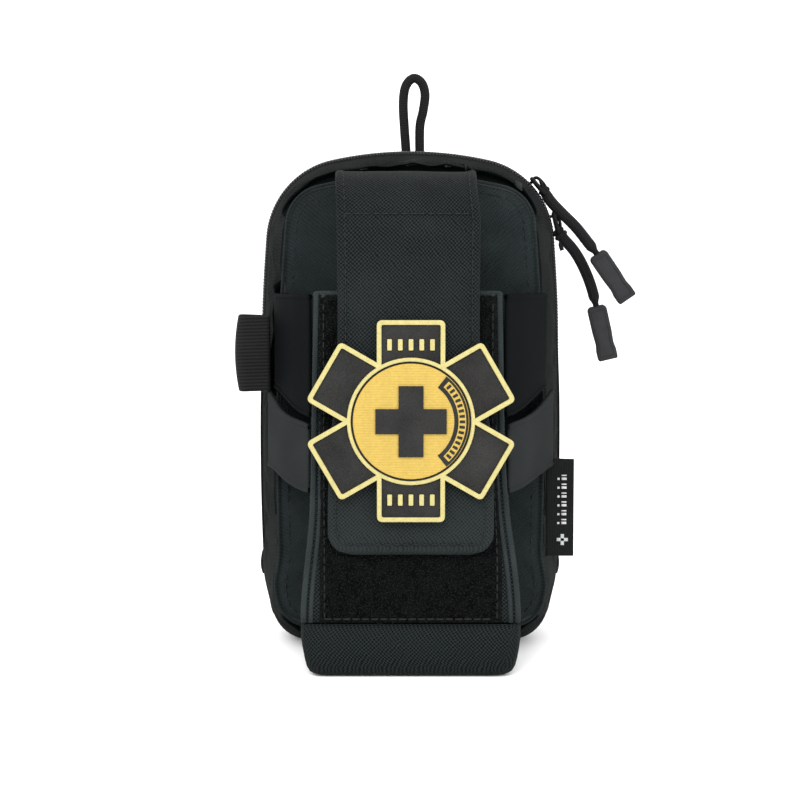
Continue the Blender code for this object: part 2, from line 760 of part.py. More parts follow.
# ---------------------------------------------------------------- assembly
clear_scene()
pouch_collection = bpy.data.collections.new("first_aid_pouch")
bpy.context.scene.collection.children.link(pouch_collection)
materials = make_materials()
world_place = {}

back_half = make_body("back_half", (0.0, 0.0, 0.0))
front_half = make_body("front_half", (0.0, FOLD_Y, 0.0), back_half)
flap = make_body("flap", (0.0, *FLAP_HINGE), front_half)
patch = make_body("patch", (0.0, FLAP_FRONT, PATCH_LEVEL), flap)

add_back_half(back_half)
add_back_webbing(back_half)
add_front_half(front_half)
add_holder(front_half)
add_side_straps(front_half)
add_webbing_loop(front_half)
add_side_label(front_half)
add_flap(flap)
add_patch(patch)

for slider_name, arc_centre in (("upper", ZIP_LINE["corner_centre"]), ("lower", ZIP_LINE["side_centre"])):
    slider = make_body(f"slider_{slider_name}", (arc_centre.x, 0.0, arc_centre.y), back_half)
    pull = make_body(f"pull_{slider_name}", pull_pivot(slider_name), slider)
    add_slider(slider_name, slider)
    add_pull(slider_name, pull)

cord_loop = make_body("cord_loop", (0.0, HANGING_LOOP_Y, 0.1822), back_half)
add_hanging_loop(cord_loop)

for strap_word, strap_x in (("left", -STRAP_X), ("right", STRAP_X)):
    strap = make_body(f"back_strap_{strap_word}", (strap_x, sum(strap_y()) / 2, 0.1505), back_half)
    add_back_strap(strap_word, strap_x, strap)
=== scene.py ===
"""The looks of the first-aid pouch: its fabric, zip, cords, stitching and patch, built round the CAD frame.

Metres, +X to the viewer's right in the main view, +Y towards the back panel, +Z up.
"""

import math
import random

import bpy
import numpy as np
from mathutils import Matrix, Vector, noise


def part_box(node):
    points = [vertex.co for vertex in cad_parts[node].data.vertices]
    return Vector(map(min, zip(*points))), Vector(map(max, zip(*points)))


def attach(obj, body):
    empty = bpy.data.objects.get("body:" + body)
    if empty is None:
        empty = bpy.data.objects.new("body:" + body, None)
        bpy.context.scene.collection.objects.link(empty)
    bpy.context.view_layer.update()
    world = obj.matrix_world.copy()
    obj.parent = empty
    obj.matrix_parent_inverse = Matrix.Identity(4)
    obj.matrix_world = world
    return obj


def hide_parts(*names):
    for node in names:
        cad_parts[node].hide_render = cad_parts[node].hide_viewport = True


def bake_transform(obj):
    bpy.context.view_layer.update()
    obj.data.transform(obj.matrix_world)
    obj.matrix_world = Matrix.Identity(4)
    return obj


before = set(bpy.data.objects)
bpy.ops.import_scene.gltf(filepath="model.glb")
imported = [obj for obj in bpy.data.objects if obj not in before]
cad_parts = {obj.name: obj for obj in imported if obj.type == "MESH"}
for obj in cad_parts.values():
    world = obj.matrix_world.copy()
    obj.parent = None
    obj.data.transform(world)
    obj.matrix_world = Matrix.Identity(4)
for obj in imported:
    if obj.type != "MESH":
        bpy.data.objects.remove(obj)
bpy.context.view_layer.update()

UP = Vector((0.0, 0.0, 1.0))
BACKWARD = Vector((0.0, 1.0, 0.0))
RIGHTWARD = Vector((1.0, 0.0, 0.0))
SIDES = (("left", -1), ("right", 1))

# ---------------------------------------------------------------- sizes taken from the frame
front_low, front_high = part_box("front_shell")
sleeve_low, sleeve_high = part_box("holder_sleeve")
star_low, star_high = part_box("patch_base")

FRONT_DEPTH = -front_low.y
BACK_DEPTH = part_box("back_shell")[1].y
RIM_FROM_ZIP = -front_high.y
POUCH_HEIGHT = front_high.z
POUCH_HALF_WIDTH = front_high.x
HOLDER_FRONT = sleeve_low.y
HOLDER_BACK = sleeve_high.y
HOLDER_TOP = sleeve_high.z
HOLDER_SEAM = sleeve_low.z
FLAP_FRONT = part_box("flap_panel")[0].y
PATCH_LEVEL = (star_low.z + star_high.z) / 2
SHELL_WALL = 0.0018
ZIP_END_LEVEL = 0.029
MIDDLE_LEVEL = 0.090
LOWEST = 0.0004

# ---------------------------------------------------------------- camera, light and floor
CAMERA_TARGET = Vector((-0.0037, 0.0, 0.0905))
CAMERA_DISTANCE = 0.80
CAMERA_ELEVATION = math.radians(6.0)
CAMERA_LENS = 97.56


def new_object(name, data):
    """An object in the scene that shows a mesh, curve, lamp or camera."""
    made = bpy.data.objects.new(name, data)
    bpy.context.scene.collection.objects.link(made)
    return made


def aim(thing, target):
    thing.rotation_euler = (target - thing.location).to_track_quat("-Z", "Y").to_euler()


def add_camera():
    camera = new_object("camera", bpy.data.cameras.new("camera"))
    camera.data.lens = CAMERA_LENS
    camera.data.sensor_width = 36.0
    camera.data.sensor_fit = "HORIZONTAL"
    camera.data.clip_start = 0.01
    back = Vector((0.0, -math.cos(CAMERA_ELEVATION), math.sin(CAMERA_ELEVATION)))
    camera.location = CAMERA_TARGET + back * CAMERA_DISTANCE
    aim(camera, CAMERA_TARGET)
    bpy.context.scene.camera = camera


def add_area_light(name, place, target, size, power):
    lamp = bpy.data.lights.new(name, "AREA")
    lamp.shape = "RECTANGLE"
    lamp.size, lamp.size_y = size
    lamp.energy = power
    light = new_object(name, lamp)
    light.location = place
    aim(light, Vector(target))


def add_studio():
    bpy.context.scene.view_settings.view_transform = "Standard"
    world = bpy.data.worlds.new("studio")
    world.use_nodes = True
    world.node_tree.nodes["Background"].inputs["Color"].default_value = (1.0, 1.0, 1.0, 1.0)
    world.node_tree.nodes["Background"].inputs["Strength"].default_value = 1.6
    bpy.context.scene.world = world
    middle = (0.0, 0.0, 0.09)
    add_area_light("key_light", (-0.20, -1.00, 0.75), middle, (0.7, 0.5), 12.0)
    add_area_light("fill_light", (0.60, -0.85, 0.30), middle, (0.5, 0.5), 3.3)
    size = 6.0
    corners = [(-size, -size, 0.0), (size, -size, 0.0), (size, size, 0.0), (-size, size, 0.0)]
    mesh = bpy.data.meshes.new("floor")
    mesh.from_pydata(corners, [], [(0, 1, 2, 3)])
    floor = new_object("floor", mesh)
    floor.location.z = -0.0002
    mesh.materials.append(floor_material())


# ---------------------------------------------------------------- material building
class Recipe:
    """A material under construction: its Principled shader and small node helpers."""

    def __init__(self, name, roughness=0.8, metallic=0.0, specular=0.2, sheen=0.0):
        self.material = bpy.data.materials.new(name)
        self.material.use_nodes = True
        self.tree = self.material.node_tree
        self.shader = self.tree.nodes["Principled BSDF"]
        self.shader.inputs["Roughness"].default_value = roughness
        self.shader.inputs["Metallic"].default_value = metallic
        self.shader.inputs["Specular IOR Level"].default_value = specular
        self.shader.inputs["Sheen Weight"].default_value = sheen
        self.shader.inputs["Sheen Roughness"].default_value = 0.45

    def node(self, kind, **settings):
        made = self.tree.nodes.new(kind)
        for name, value in settings.items():
            setattr(made, name, value)
        return made

    def plug(self, value, socket):
        if isinstance(value, (int, float)):
            socket.default_value = value
        else:
            self.tree.links.new(value, socket)

    def math(self, operation, first, second=0.0):
        made = self.node("ShaderNodeMath", operation=operation)
        self.plug(first, made.inputs[0])
        self.plug(second, made.inputs[1])
        return made.outputs[0]

    def add(self, first, second):
        return self.math("ADD", first, second)

    def times(self, first, second):
        return self.math("MULTIPLY", first, second)

    def coordinates(self, source="UV"):
        """The two or three coordinates of the surface, in metres."""
        place = self.node("ShaderNodeTexCoord")
        split = self.node("ShaderNodeSeparateXYZ")
        self.tree.links.new(place.outputs[source], split.inputs[0])
        return split.outputs

    def noise(self, scale, detail=2.0, source="Object"):
        place = self.node("ShaderNodeTexCoord")
        texture = self.node("ShaderNodeTexNoise")
        self.tree.links.new(place.outputs[source], texture.inputs["Vector"])
        texture.inputs["Scale"].default_value = scale
        texture.inputs["Detail"].default_value = detail
        return texture.outputs["Fac"]

    def wave(self, coordinate, pitch, shift=0.0):
        """A sine with one full turn over two pitches."""
        angle = self.math("MULTIPLY_ADD", coordinate, math.pi / pitch)
        angle.node.inputs[2].default_value = shift
        return self.math("SINE", angle)

    def ramp(self, value, low, high, dark, light):
        """Colours the surface from dark to light as a value goes from low to high."""
        spread = self.node("ShaderNodeMapRange")
        self.plug(value, spread.inputs["Value"])
        spread.inputs["From Min"].default_value = low
        spread.inputs["From Max"].default_value = high
        between = self.node("ShaderNodeMix", data_type="RGBA")
        self.tree.links.new(spread.outputs["Result"], between.inputs["Factor"])
        colours = [socket for socket in between.inputs if socket.type == "RGBA"]
        colours[0].default_value = (*dark, 1.0)
        colours[1].default_value = (*light, 1.0)
        shade = [socket for socket in between.outputs if socket.type == "RGBA"][0]
        self.tree.links.new(shade, self.shader.inputs["Base Color"])

    def shade(self, value, low, high, colour, darkest, lightest):
        """Shades of one colour, from its darkest share to its lightest as a value goes from low to high."""
        self.ramp(value, low, high, scaled(colour, darkest), scaled(colour, lightest))

    def bump(self, height, distance, strength=1.0):
        made = self.node("ShaderNodeBump")
        made.inputs["Distance"].default_value = distance
        made.inputs["Strength"].default_value = strength
        self.plug(height, made.inputs["Height"])
        self.tree.links.new(made.outputs["Normal"], self.shader.inputs["Normal"])

    def rough(self, value, low, high):
        spread = self.node("ShaderNodeMapRange")
        self.plug(value, spread.inputs["Value"])
        spread.inputs["To Min"].default_value = low
        spread.inputs["To Max"].default_value = high
        self.tree.links.new(spread.outputs["Result"], self.shader.inputs["Roughness"])


def scaled(colour, factor):
    return tuple(part * factor for part in colour)


def floor_material():
    recipe = Recipe("pale_floor", roughness=0.9, specular=0.1)
    recipe.ramp(recipe.noise(3.0), 0.2, 0.8, (0.93, 0.93, 0.93), (0.96, 0.96, 0.96))
    return recipe.material


def woven(name, colour, thread, contrast=0.45, relief=0.00012, roughness=0.85, specular=0.06, sheen=0.01,
          mottle=70.0, painted_light_span=None):
    """A plain weave of thick, uneven yarn, dusty in patches, with painted glints that make its high spots
    lighter.
    """
    recipe = Recipe(name, roughness=roughness, specular=specular, sheen=sheen)
    across, along, _ = recipe.coordinates()
    drift = recipe.times(recipe.noise(330.0, 2.0), thread * 1.6)
    warp = recipe.wave(recipe.add(across, drift), thread)
    weft = recipe.wave(recipe.math("SUBTRACT", along, drift), thread)
    crossing = recipe.times(warp, weft)
    patches = recipe.noise(mottle, 4.0)
    fuzz = recipe.noise(2600.0, 2.0)
    tone = recipe.add(recipe.times(crossing, contrast), recipe.times(recipe.add(patches, fuzz), 1.3))
    # Painted light: the colour grows lighter from the span's first height to its second.
    if painted_light_span:
        height = recipe.coordinates("Object")[2]
        start, end = painted_light_span
        share = recipe.math("DIVIDE", recipe.math("SUBTRACT", height, start), end - start)
        tone = recipe.add(tone, recipe.times(share, 0.95))
    recipe.shade(tone, 0.5, 2.8, colour, 0.25, 2.85)
    recipe.bump(recipe.add(crossing, recipe.times(fuzz, 0.8)), relief)
    recipe.rough(patches, roughness - 0.08, roughness + 0.10)
    return recipe.material


def ribbed(name, colour, rib, relief=0.0002, roughness=0.8, sheen=0.015, lengthwise=False, contrast=0.55,
           slant=0.25):
    """Webbing or tape: ribs across its length or along it, each made of slanting yarns."""
    recipe = Recipe(name, roughness=roughness, specular=0.10, sheen=sheen)
    across, along, _ = recipe.coordinates()
    if lengthwise:
        across, along = along, across
    ribs = recipe.math("ABSOLUTE", recipe.wave(along, rib))
    yarns = recipe.wave(recipe.add(across, recipe.times(along, 0.5)), rib * 0.6)
    patches = recipe.noise(90.0, 3.0)
    height = recipe.add(ribs, recipe.times(yarns, slant))
    tone = recipe.add(recipe.times(height, contrast), patches)
    recipe.shade(tone, 0.3, 1.4, colour, 0.5, 1.6)
    recipe.bump(height, relief)
    return recipe.material


def knitted(name, colour):
    """Smooth stretch fabric with a fine twill line."""
    recipe = Recipe(name, roughness=0.82, specular=0.03)
    across, along, _ = recipe.coordinates()
    twill = recipe.wave(recipe.add(across, along), 0.0004)
    patches = recipe.noise(55.0, 3.0)
    tone = recipe.add(recipe.times(twill, 0.18), patches)
    recipe.shade(tone, 0.2, 0.9, colour, 0.8, 1.2)
    recipe.bump(twill, 0.00002)
    return recipe.material


def fuzzy(name, colour):
    """The matted ground under loop pile."""
    recipe = Recipe(name, roughness=0.95, specular=0.04, sheen=0.01)
    clumps = recipe.noise(420.0, 5.0)
    fine = recipe.noise(1800.0, 3.0)
    recipe.shade(clumps, 0.35, 0.70, colour, 0.45, 1.9)
    recipe.bump(recipe.add(clumps, fine), 0.0008)
    return recipe.material


def moulded(name, colour, grain, roughness=0.6, metallic=0.0, specular=0.35, relief=0.00004):
    """Rubber, plastic or painted metal with a fine grain and handling marks."""
    recipe = Recipe(name, roughness=roughness, metallic=metallic, specular=specular)
    specks = recipe.noise(grain, 4.0)
    marks = recipe.noise(260.0, 5.0)
    recipe.shade(marks, 0.3, 0.75, colour, 0.80, 1.25)
    recipe.bump(specks, relief)
    recipe.rough(marks, roughness - 0.12, roughness + 0.15)
    return recipe.material


def braided(name, colour, strand):
    """Kernmantle cord: strands that cross in a diamond pattern round it."""
    recipe = Recipe(name, roughness=0.75, specular=0.12, sheen=0.02)
    across, along, _ = recipe.coordinates()
    one_way = recipe.wave(recipe.add(across, along), strand)
    other_way = recipe.wave(recipe.math("SUBTRACT", across, along), strand)
    diamonds = recipe.times(one_way, other_way)
    fuzz = recipe.noise(2200.0, 2.0)
    tone = recipe.add(recipe.times(diamonds, 0.4), fuzz)
    recipe.shade(tone, 0.1, 1.0, colour, 0.7, 1.4)
    recipe.bump(recipe.add(diamonds, recipe.times(fuzz, 0.4)), 0.00010)
    return recipe.material


def satin_stitched(name, colour, pitch, source="UV", contrast=0.35):
    """Embroidery: close threads side by side, each catching the light a little differently."""
    recipe = Recipe(name, roughness=0.55, specular=0.2, sheen=0.02)
    across, along, _ = recipe.coordinates(source)
    threads = recipe.math("ABSOLUTE", recipe.wave(along, pitch))
    steps = recipe.wave(across, pitch * 6.0)
    shade = recipe.noise(900.0, 2.0)
    tone = recipe.add(recipe.times(threads, contrast), recipe.add(shade, recipe.times(steps, 0.06)))
    recipe.shade(tone, 0.2, 1.1, colour, 0.80, 1.10)
    recipe.bump(recipe.add(threads, recipe.times(steps, 0.3)), 0.00010)
    return recipe.material


def make_materials():
    dark = (0.0052, 0.0070, 0.0071)
    return {
        "cordura": woven("cordura", scaled(dark, 1.10), 0.00068, contrast=1.5),
        # Painted shade: the cup darkens towards its foot by the floor.
        "cup": woven("cup_cordura", scaled(dark, 0.70), 0.00068, contrast=3.6, painted_light_span=(0.001, 0.018)),
        # Painted light: the flap grows lighter from its top towards its tip.
        "flap": woven("flap_cordura", (0.0053, 0.0066, 0.0066), 0.00068, contrast=1.3, painted_light_span=(0.165, 0.050)),
        "panel": woven("panel_cordura", scaled(dark, 1.65), 0.00065, contrast=0.35, relief=0.00006),
        "gusset": woven("gusset_nylon", (0.0088, 0.0097, 0.0096), 0.00065, contrast=0.30, relief=0.00005,
                        specular=0.03, sheen=0.0),
        # Painted shade: a darker copy of the gusset's nylon, for the gusset's groove and foot where shade
        # falls.
        "recess_shade": woven("painted_recess_shade", scaled(dark, 0.45), 0.00065, contrast=0.30, relief=0.00005,
                        specular=0.02, sheen=0.0),
        "lining": woven("lining_nylon", (0.020, 0.021, 0.021), 0.00050, contrast=0.3, relief=0.00005),
        "stretch": knitted("stretch_nylon", (0.0146, 0.0162, 0.0164)),
        # Painted shade: the band's colour is kept far darker than the panel's, standing in for the shade on
        # it.
        "band": knitted("band_painted_shade", (0.0020, 0.0027, 0.0031)),
        "hem": ribbed("hem_binding", scaled(dark, 2.30), 0.0007, relief=0.00010),
        "webbing": ribbed("webbing", (0.0055, 0.0058, 0.0058), 0.0011),
        "loop_webbing": ribbed("loop_webbing", (0.0048, 0.0050, 0.0050), 0.0012, relief=0.0004,
                               lengthwise=True, contrast=1.0, slant=0.05),
        "tape": ribbed("zip_tape", (0.0040, 0.0045, 0.0045), 0.0006, relief=0.00010),
        "elastic": ribbed("elastic", (0.0080, 0.0085, 0.0090), 0.0013, relief=0.00025),
        "loop_ground": fuzzy("loop_ground", (0.0022, 0.0026, 0.0026)),
        "loop_pile": moulded("loop_pile", (0.0060, 0.0065, 0.0065), 3000.0, roughness=0.6, specular=0.12),
        "hook": fuzzy("hook_ground", (0.0035, 0.0037, 0.0037)),
        "coil": moulded("zip_coil", (0.0040, 0.0042, 0.0044), 1500.0, roughness=0.30, specular=0.35),
        "metal": moulded("black_metal", (0.0030, 0.0031, 0.0034), 2500.0, roughness=0.55, specular=0.08),
        "rubber": moulded("grip_rubber", (0.0165, 0.0168, 0.0178), 3500.0, roughness=0.72, specular=0.12),
        "board": moulded("board", (0.0380, 0.0380, 0.0380), 900.0, roughness=0.6),
        "cord": braided("cord", (0.0032, 0.0033, 0.0038), 0.0009),
        "thread": moulded("thread", (0.0085, 0.0098, 0.0100), 4000.0, roughness=0.6, specular=0.12),
        "net": moulded("net_thread", (0.0160, 0.0170, 0.0170), 3000.0, roughness=0.7),
        "label_mark": moulded("label_mark", (0.3400, 0.3500, 0.3500), 3000.0, roughness=0.7),
        "patch_field": woven("patch_field", (0.0148, 0.0146, 0.0142), 0.00045, contrast=0.12,
                             relief=0.00003),
        "patch_border": satin_stitched("patch_border", (0.400, 0.350, 0.140), 0.00035, contrast=0.2),
        "patch_gold": satin_stitched("patch_gold", (0.355, 0.243, 0.048), 0.00055),
    }


# ---------------------------------------------------------------- mesh building
class Builder:
    """Collects the points, faces and UVs (in metres) of one mesh."""

    def __init__(self):
        self.points = []
        self.faces = []
        self.uvs = []

    def grid(self, rows, wrap=False, cap_first=False, cap_last=False, uv=None):
        """A skin of quads through rows of points; wrap joins each row's end to its start."""
        base = len(self.points)
        count = len(rows[0])
        columns = count + 1 if wrap else count
        places = uv or arc_lengths(rows, wrap)
        for row in rows:
            self.points.extend(row)
        for i in range(len(rows) - 1):
            for j in range(columns - 1):
                k = (j + 1) % count
                here, there = base + i * count, base + (i + 1) * count
                self.faces.append((here + j, here + k, there + k, there + j))
                self.uvs.append((places[i][j], places[i][j + 1], places[i + 1][j + 1], places[i + 1][j]))
        for wanted, i in ((cap_first, 0), (cap_last, len(rows) - 1)):
            if wanted:
                ring = list(range(base + i * count, base + (i + 1) * count))
                corners = list(range(count))
                if i == 0:
                    ring.reverse()
                    corners.reverse()
                self.faces.append(tuple(ring))
                self.uvs.append(tuple(places[i][j] for j in corners))

    def tube(self, centres, radius, sides=8, closed=False, flatten=1.0, upright=None):
        """A round tube along a list of points, with closed ends or joined into a ring."""
        radii = radius if isinstance(radius, (list, tuple)) else [radius] * len(centres)
        rows = []
        for centre, r, (side, over) in zip(centres, radii, transported(centres, upright, closed)):
            rows.append([
                centre + side * (r * math.cos(angle)) + over * (r * flatten * math.sin(angle))
                for angle in round_angles(sides)
            ])
        if closed:
            rows.append(rows[0])
        self.grid(rows, wrap=True, cap_first=not closed, cap_last=not closed)

    def ribbon(self, centres, across, normals, widths, thickness, flats=6):
        """A flat strip with round edges; across, normals and widths: one value, or one for each point."""
        across, normals, widths = (
            value if isinstance(value, list) else [value] * len(centres)
            for value in (across, normals, widths)
        )
        rows = []
        half_thick = thickness / 2
        for centre, a, n, width in zip(centres, across, normals, widths):
            reach = width / 2 - half_thick
            turn = [math.radians(-90 + 180 * k / 4) for k in range(5)]
            right = [(reach + half_thick * math.cos(t), half_thick * math.sin(t)) for t in turn]
            top = [(reach - 2 * reach * k / flats, half_thick) for k in range(1, flats)]
            left = [(-x, -y) for x, y in right]
            under = [(-x, -y) for x, y in top]
            rows.append([centre + a * x + n * y for x, y in right + top + left + under])
        self.grid(rows, wrap=True, cap_first=True, cap_last=True)

    def piece(self, name, material, body, slot=None, replaces=(), smooth=True):
        """The finished mesh as an object that rides on a CAD body."""
        mesh = bpy.data.meshes.new(name)
        mesh.from_pydata([tuple(point) for point in self.points], [], self.faces)
        layer = mesh.uv_layers.new(name="UVMap")
        layer.data.foreach_set("uv", [value for face in self.uvs for pair in face for value in pair])
        if smooth:
            mesh.shade_smooth()
        mesh.validate()
        return settle(name, mesh, material, body, slot, replaces)


def settle(name, data, material, body, slot=None, replaces=()):
    """Puts a mesh or curve in the scene, with its material, on its body."""
    made = new_object(name, data)
    data.materials.append(materials[material])
    if body:
        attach(made, body)
    if replaces:
        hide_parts(*([replaces] if isinstance(replaces, str) else replaces))
    return made


def thicken(piece, thickness, offset=-1.0):
    """Gives a skin its thickness, on the inside unless the offset says otherwise."""
    wall = piece.modifiers.new("wall", "SOLIDIFY")
    wall.thickness = thickness
    wall.offset = offset
    return wall


def arc_lengths(rows, wrap):
    """UV places in metres: across a row, and from row to row at its middle."""
    grid = np.array([[tuple(point) for point in row] for row in rows])
    if wrap:
        grid = np.concatenate([grid, grid[:, :1]], axis=1)
    across = np.linalg.norm(np.diff(grid, axis=1), axis=2)
    across = np.concatenate([np.zeros((len(grid), 1)), np.cumsum(across, axis=1)], axis=1)
    across -= across[:, -1:] / 2
    along = np.linalg.norm(np.diff(grid, axis=0), axis=2).mean(axis=1)
    along = np.concatenate([[0.0], np.cumsum(along)])
    return [[(float(u), float(v)) for u in row] for row, v in zip(across, along)]


def transported(centres, upright=None, closed=False):
    """Side and over directions at each point of a line, turned as little as possible."""
    count = len(centres)
    frames = []
    side = None
    for i in range(count):
        before = centres[(i - 1) % count] if closed or i else centres[0]
        after = centres[(i + 1) % count] if closed or i < count - 1 else centres[-1]
        along = (after - before).normalized()
        if upright is not None:
            side = along.cross(upright).normalized()
        elif side is None:
            helper = UP if abs(along.z) < 0.9 else BACKWARD
            side = along.cross(helper).normalized()
        else:
            side = (side - along * side.dot(along)).normalized()
        frames.append((side, side.cross(along).normalized()))
    return frames


def smooth_line(points, steps):
    """Points along a Catmull-Rom curve through the line's own points."""
    route = [Vector(point) for point in points]
    padded = [2 * route[0] - route[1]] + route + [2 * route[-1] - route[-2]]
    result = []
    for a, b, c, d in zip(padded, padded[1:], padded[2:], padded[3:]):
        for step in range(steps):
            t = step / steps
            result.append(
                0.5 * (2 * b + (c - a) * t + (2 * a - 5 * b + 4 * c - d) * t**2
                       + (3 * b - a - 3 * c + d) * t**3)
            )
    result.append(route[-1])
    return result


def resampled(points, spacing, closed=False):
    """Points at an even spacing along a line."""
    line = [Vector(point) for point in points]
    if closed:
        line.append(line[0])
    lengths = running_lengths(line)
    count = max(2, round(lengths[-1] / spacing))
    result = []
    k = 0
    for i in range(count if closed else count + 1):
        want = lengths[-1] * i / count
        while k < len(lengths) - 2 and lengths[k + 1] < want:
            k += 1
        span = lengths[k + 1] - lengths[k]
        result.append(line[k].lerp(line[k + 1], (want - lengths[k]) / span if span else 0.0))
    return result


def straight(start, end, steps):
    """Points at equal steps along a straight line, both ends among them."""
    start, end = Vector(start), Vector(end)
    return [start.lerp(end, i / steps) for i in range(steps + 1)]


def round_angles(count):
    """Evenly spaced angles that go once round."""
    return [2 * math.pi * k / count for k in range(count)]


def quarter_turn(x, z, radius, start, steps=3):
    """Points of a quarter circle round (x, z), from a start bearing in degrees."""
    bearings = [math.radians(start + 90 / steps * k) for k in range(steps + 1)]
    return [(x + radius * math.cos(bearing), z + radius * math.sin(bearing)) for bearing in bearings]


def heading(line, i):
    """From the point before a line's point i to the point after it."""
    return line[min(len(line) - 1, i + 1)] - line[max(0, i - 1)]


def running_lengths(line):
    """How far along the line each of its points lies."""
    runs = [0.0]
    for a, b in zip(line, line[1:]):
        runs.append(runs[-1] + (b - a).length)
    return runs


def mix(a, b, share):
    return a + (b - a) * share


def ease(share):
    share = min(1.0, max(0.0, share))
    return share * share * (3 - 2 * share)


def sway(point, scale, amount):
    """A smooth, repeatable wander of a surface, between plus and minus the amount."""
    return amount * noise.noise(Vector(point) * scale)


STITCH_INSET = 0.0042
STITCH_PITCH = 0.0031
STITCH_LENGTH = 0.0023
THREAD_RADIUS = 0.00028


def sew(builder, points, normal, closed=False, pitch=STITCH_PITCH, length=STITCH_LENGTH,
        radius=THREAD_RADIUS):
    """A row of lockstitches: short arched threads whose ends dip into the cloth."""
    step = 0.0004
    line = resampled(points, step, closed)
    per_pitch = round(pitch / step)
    per_stitch = round(length / step)
    for start in range(0, len(line) - per_stitch, per_pitch):
        run = line[start:start + per_stitch + 1:max(1, per_stitch // 4)]
        arched = []
        for i, point in enumerate(run):
            facing = normal(point) if callable(normal) else normal
            rise = math.sin(math.pi * i / (len(run) - 1))
            arched.append(point + facing * (radius * (1.5 * rise - 0.9)))
        builder.tube(arched, radius, sides=6)


# ---------------------------------------------------------------- outlines
SIDE_RADIUS = 1.000


def circles_meet(first, first_radius, second, second_radius):
    """The upper right crossing of two circles, which centres an arc tangent to both."""
    across = second - first
    distance = across.length
    along = (first_radius**2 - second_radius**2 + distance**2) / (2 * distance)
    height = math.sqrt(first_radius**2 - along**2)
    unit = across.normalized()
    foot = first + unit * along
    offset = Vector((-unit.y, unit.x)) * height
    return max((foot + offset, foot - offset), key=lambda point: point.x + point.y)


def round_topped(half_width, top, foot, top_radius, corner_radius, foot_radius, side_level, flare=0.0):
    """The right half of a round-topped outline: (centre, radius, angle) at each point."""
    top_centre = Vector((0.0, top - top_radius))
    side_centre = Vector((half_width - SIDE_RADIUS, side_level))
    corner_centre = circles_meet(
        top_centre, top_radius - corner_radius, side_centre, SIDE_RADIUS - corner_radius
    )
    foot_rise = foot + foot_radius - side_level
    foot_centre = Vector((
        side_centre.x + math.sqrt((SIDE_RADIUS - foot_radius) ** 2 - foot_rise**2),
        foot + foot_radius,
    ))

    def bearing(a, b):
        return math.atan2(b.y - a.y, b.x - a.x)

    foot_end = bearing(side_centre, foot_centre)
    zip_end = math.asin((ZIP_END_LEVEL - side_level) / SIDE_RADIUS)
    side_end = bearing(side_centre, corner_centre)
    corner_end = bearing(top_centre, corner_centre)
    quarter = math.pi / 2
    along_foot, round_foot, up_to_zip = 8, 12, 6
    rays = [
        (Vector((foot_centre.x * i / along_foot, foot_centre.y)), foot_radius, -quarter)
        for i in range(along_foot)
    ]
    arcs = [
        (foot_centre, foot_radius, -quarter, foot_end, round_foot),
        (side_centre, SIDE_RADIUS, foot_end, zip_end, up_to_zip),
        (side_centre, SIDE_RADIUS, zip_end, side_end, 44),
        (corner_centre, corner_radius, side_end, corner_end, 26),
        (top_centre, top_radius, corner_end, quarter, 26),
    ]
    for centre, radius, start, end, count in arcs:
        for i in range(0 if start == -quarter else 1, count + 1):
            rays.append((centre, radius, start + (end - start) * i / count))
    zip_start = along_foot + round_foot + up_to_zip
    return {"rays": rays, "zip_start": zip_start, "corner_centre": corner_centre, "flare": flare}


def right_half(shape, inset=0.0):
    points = []
    for centre, radius, angle in shape["rays"]:
        x = centre.x + (radius - inset) * math.cos(angle)
        z = centre.y + (radius - inset) * math.sin(angle)
        points.append((x * draw_in(z) * (1 + shape["flare"] * (1 - ease((z - 0.022) / 0.016))), z))
    return points


def draw_in(z):
    """How much narrower the soft body stands than its cut outline: most near the foot."""
    return 0.944 + 0.043 * ease((z - 0.0085) / 0.019)


def full_ring(shape, inset=0.0):
    half = right_half(shape, inset)
    return half + [(-x, z) for x, z in half[-2:0:-1]]


def zip_path(shape, inset):
    """From the right zip end over the top to the left zip end."""
    half = right_half(shape, inset)[shape["zip_start"]:]
    return half + [(-x, z) for x, z in half[-2::-1]]


def foot_path(shape, inset):
    """From the right zip end under the pouch to the left zip end."""
    half = right_half(shape, inset)[:shape["zip_start"] + 1]
    return half[::-1] + [(-x, z) for x, z in half[1:]]


PANEL_SIDE_LEVEL = 0.070
PANEL_TOP_RADIUS = 0.150
PANEL_FOOT_RADIUS = 0.010
ZIP_CORNER_RADIUS = 0.031
ZIP_LINE = round_topped(POUCH_HALF_WIDTH, POUCH_HEIGHT + 0.0002, 0.0, 0.136, ZIP_CORNER_RADIUS, 0.015, 0.072)
FRONT_PANEL = round_topped(0.0486, 0.172, 0.0095, PANEL_TOP_RADIUS, 0.015, PANEL_FOOT_RADIUS,
                           PANEL_SIDE_LEVEL, flare=0.055)
BACK_PANEL = round_topped(0.050, 0.174, 0.006, PANEL_TOP_RADIUS, 0.026, PANEL_FOOT_RADIUS, PANEL_SIDE_LEVEL)


# ---------------------------------------------------------------- cords
HANGING_CORD_DIAMETER = 0.0034
HANGING_LOOP_Y = 0.008
HANGING_ROUTE = [(-0.0012, 0.1768), (-0.0021, 0.1890), (-0.0025, 0.1980), (-0.0016, 0.2040),
                 (0.0012, 0.2069), (0.0042, 0.2053), (0.0055, 0.2010), (0.0048, 0.1950), (0.0036, 0.1890),
                 (0.0036, 0.1768)]

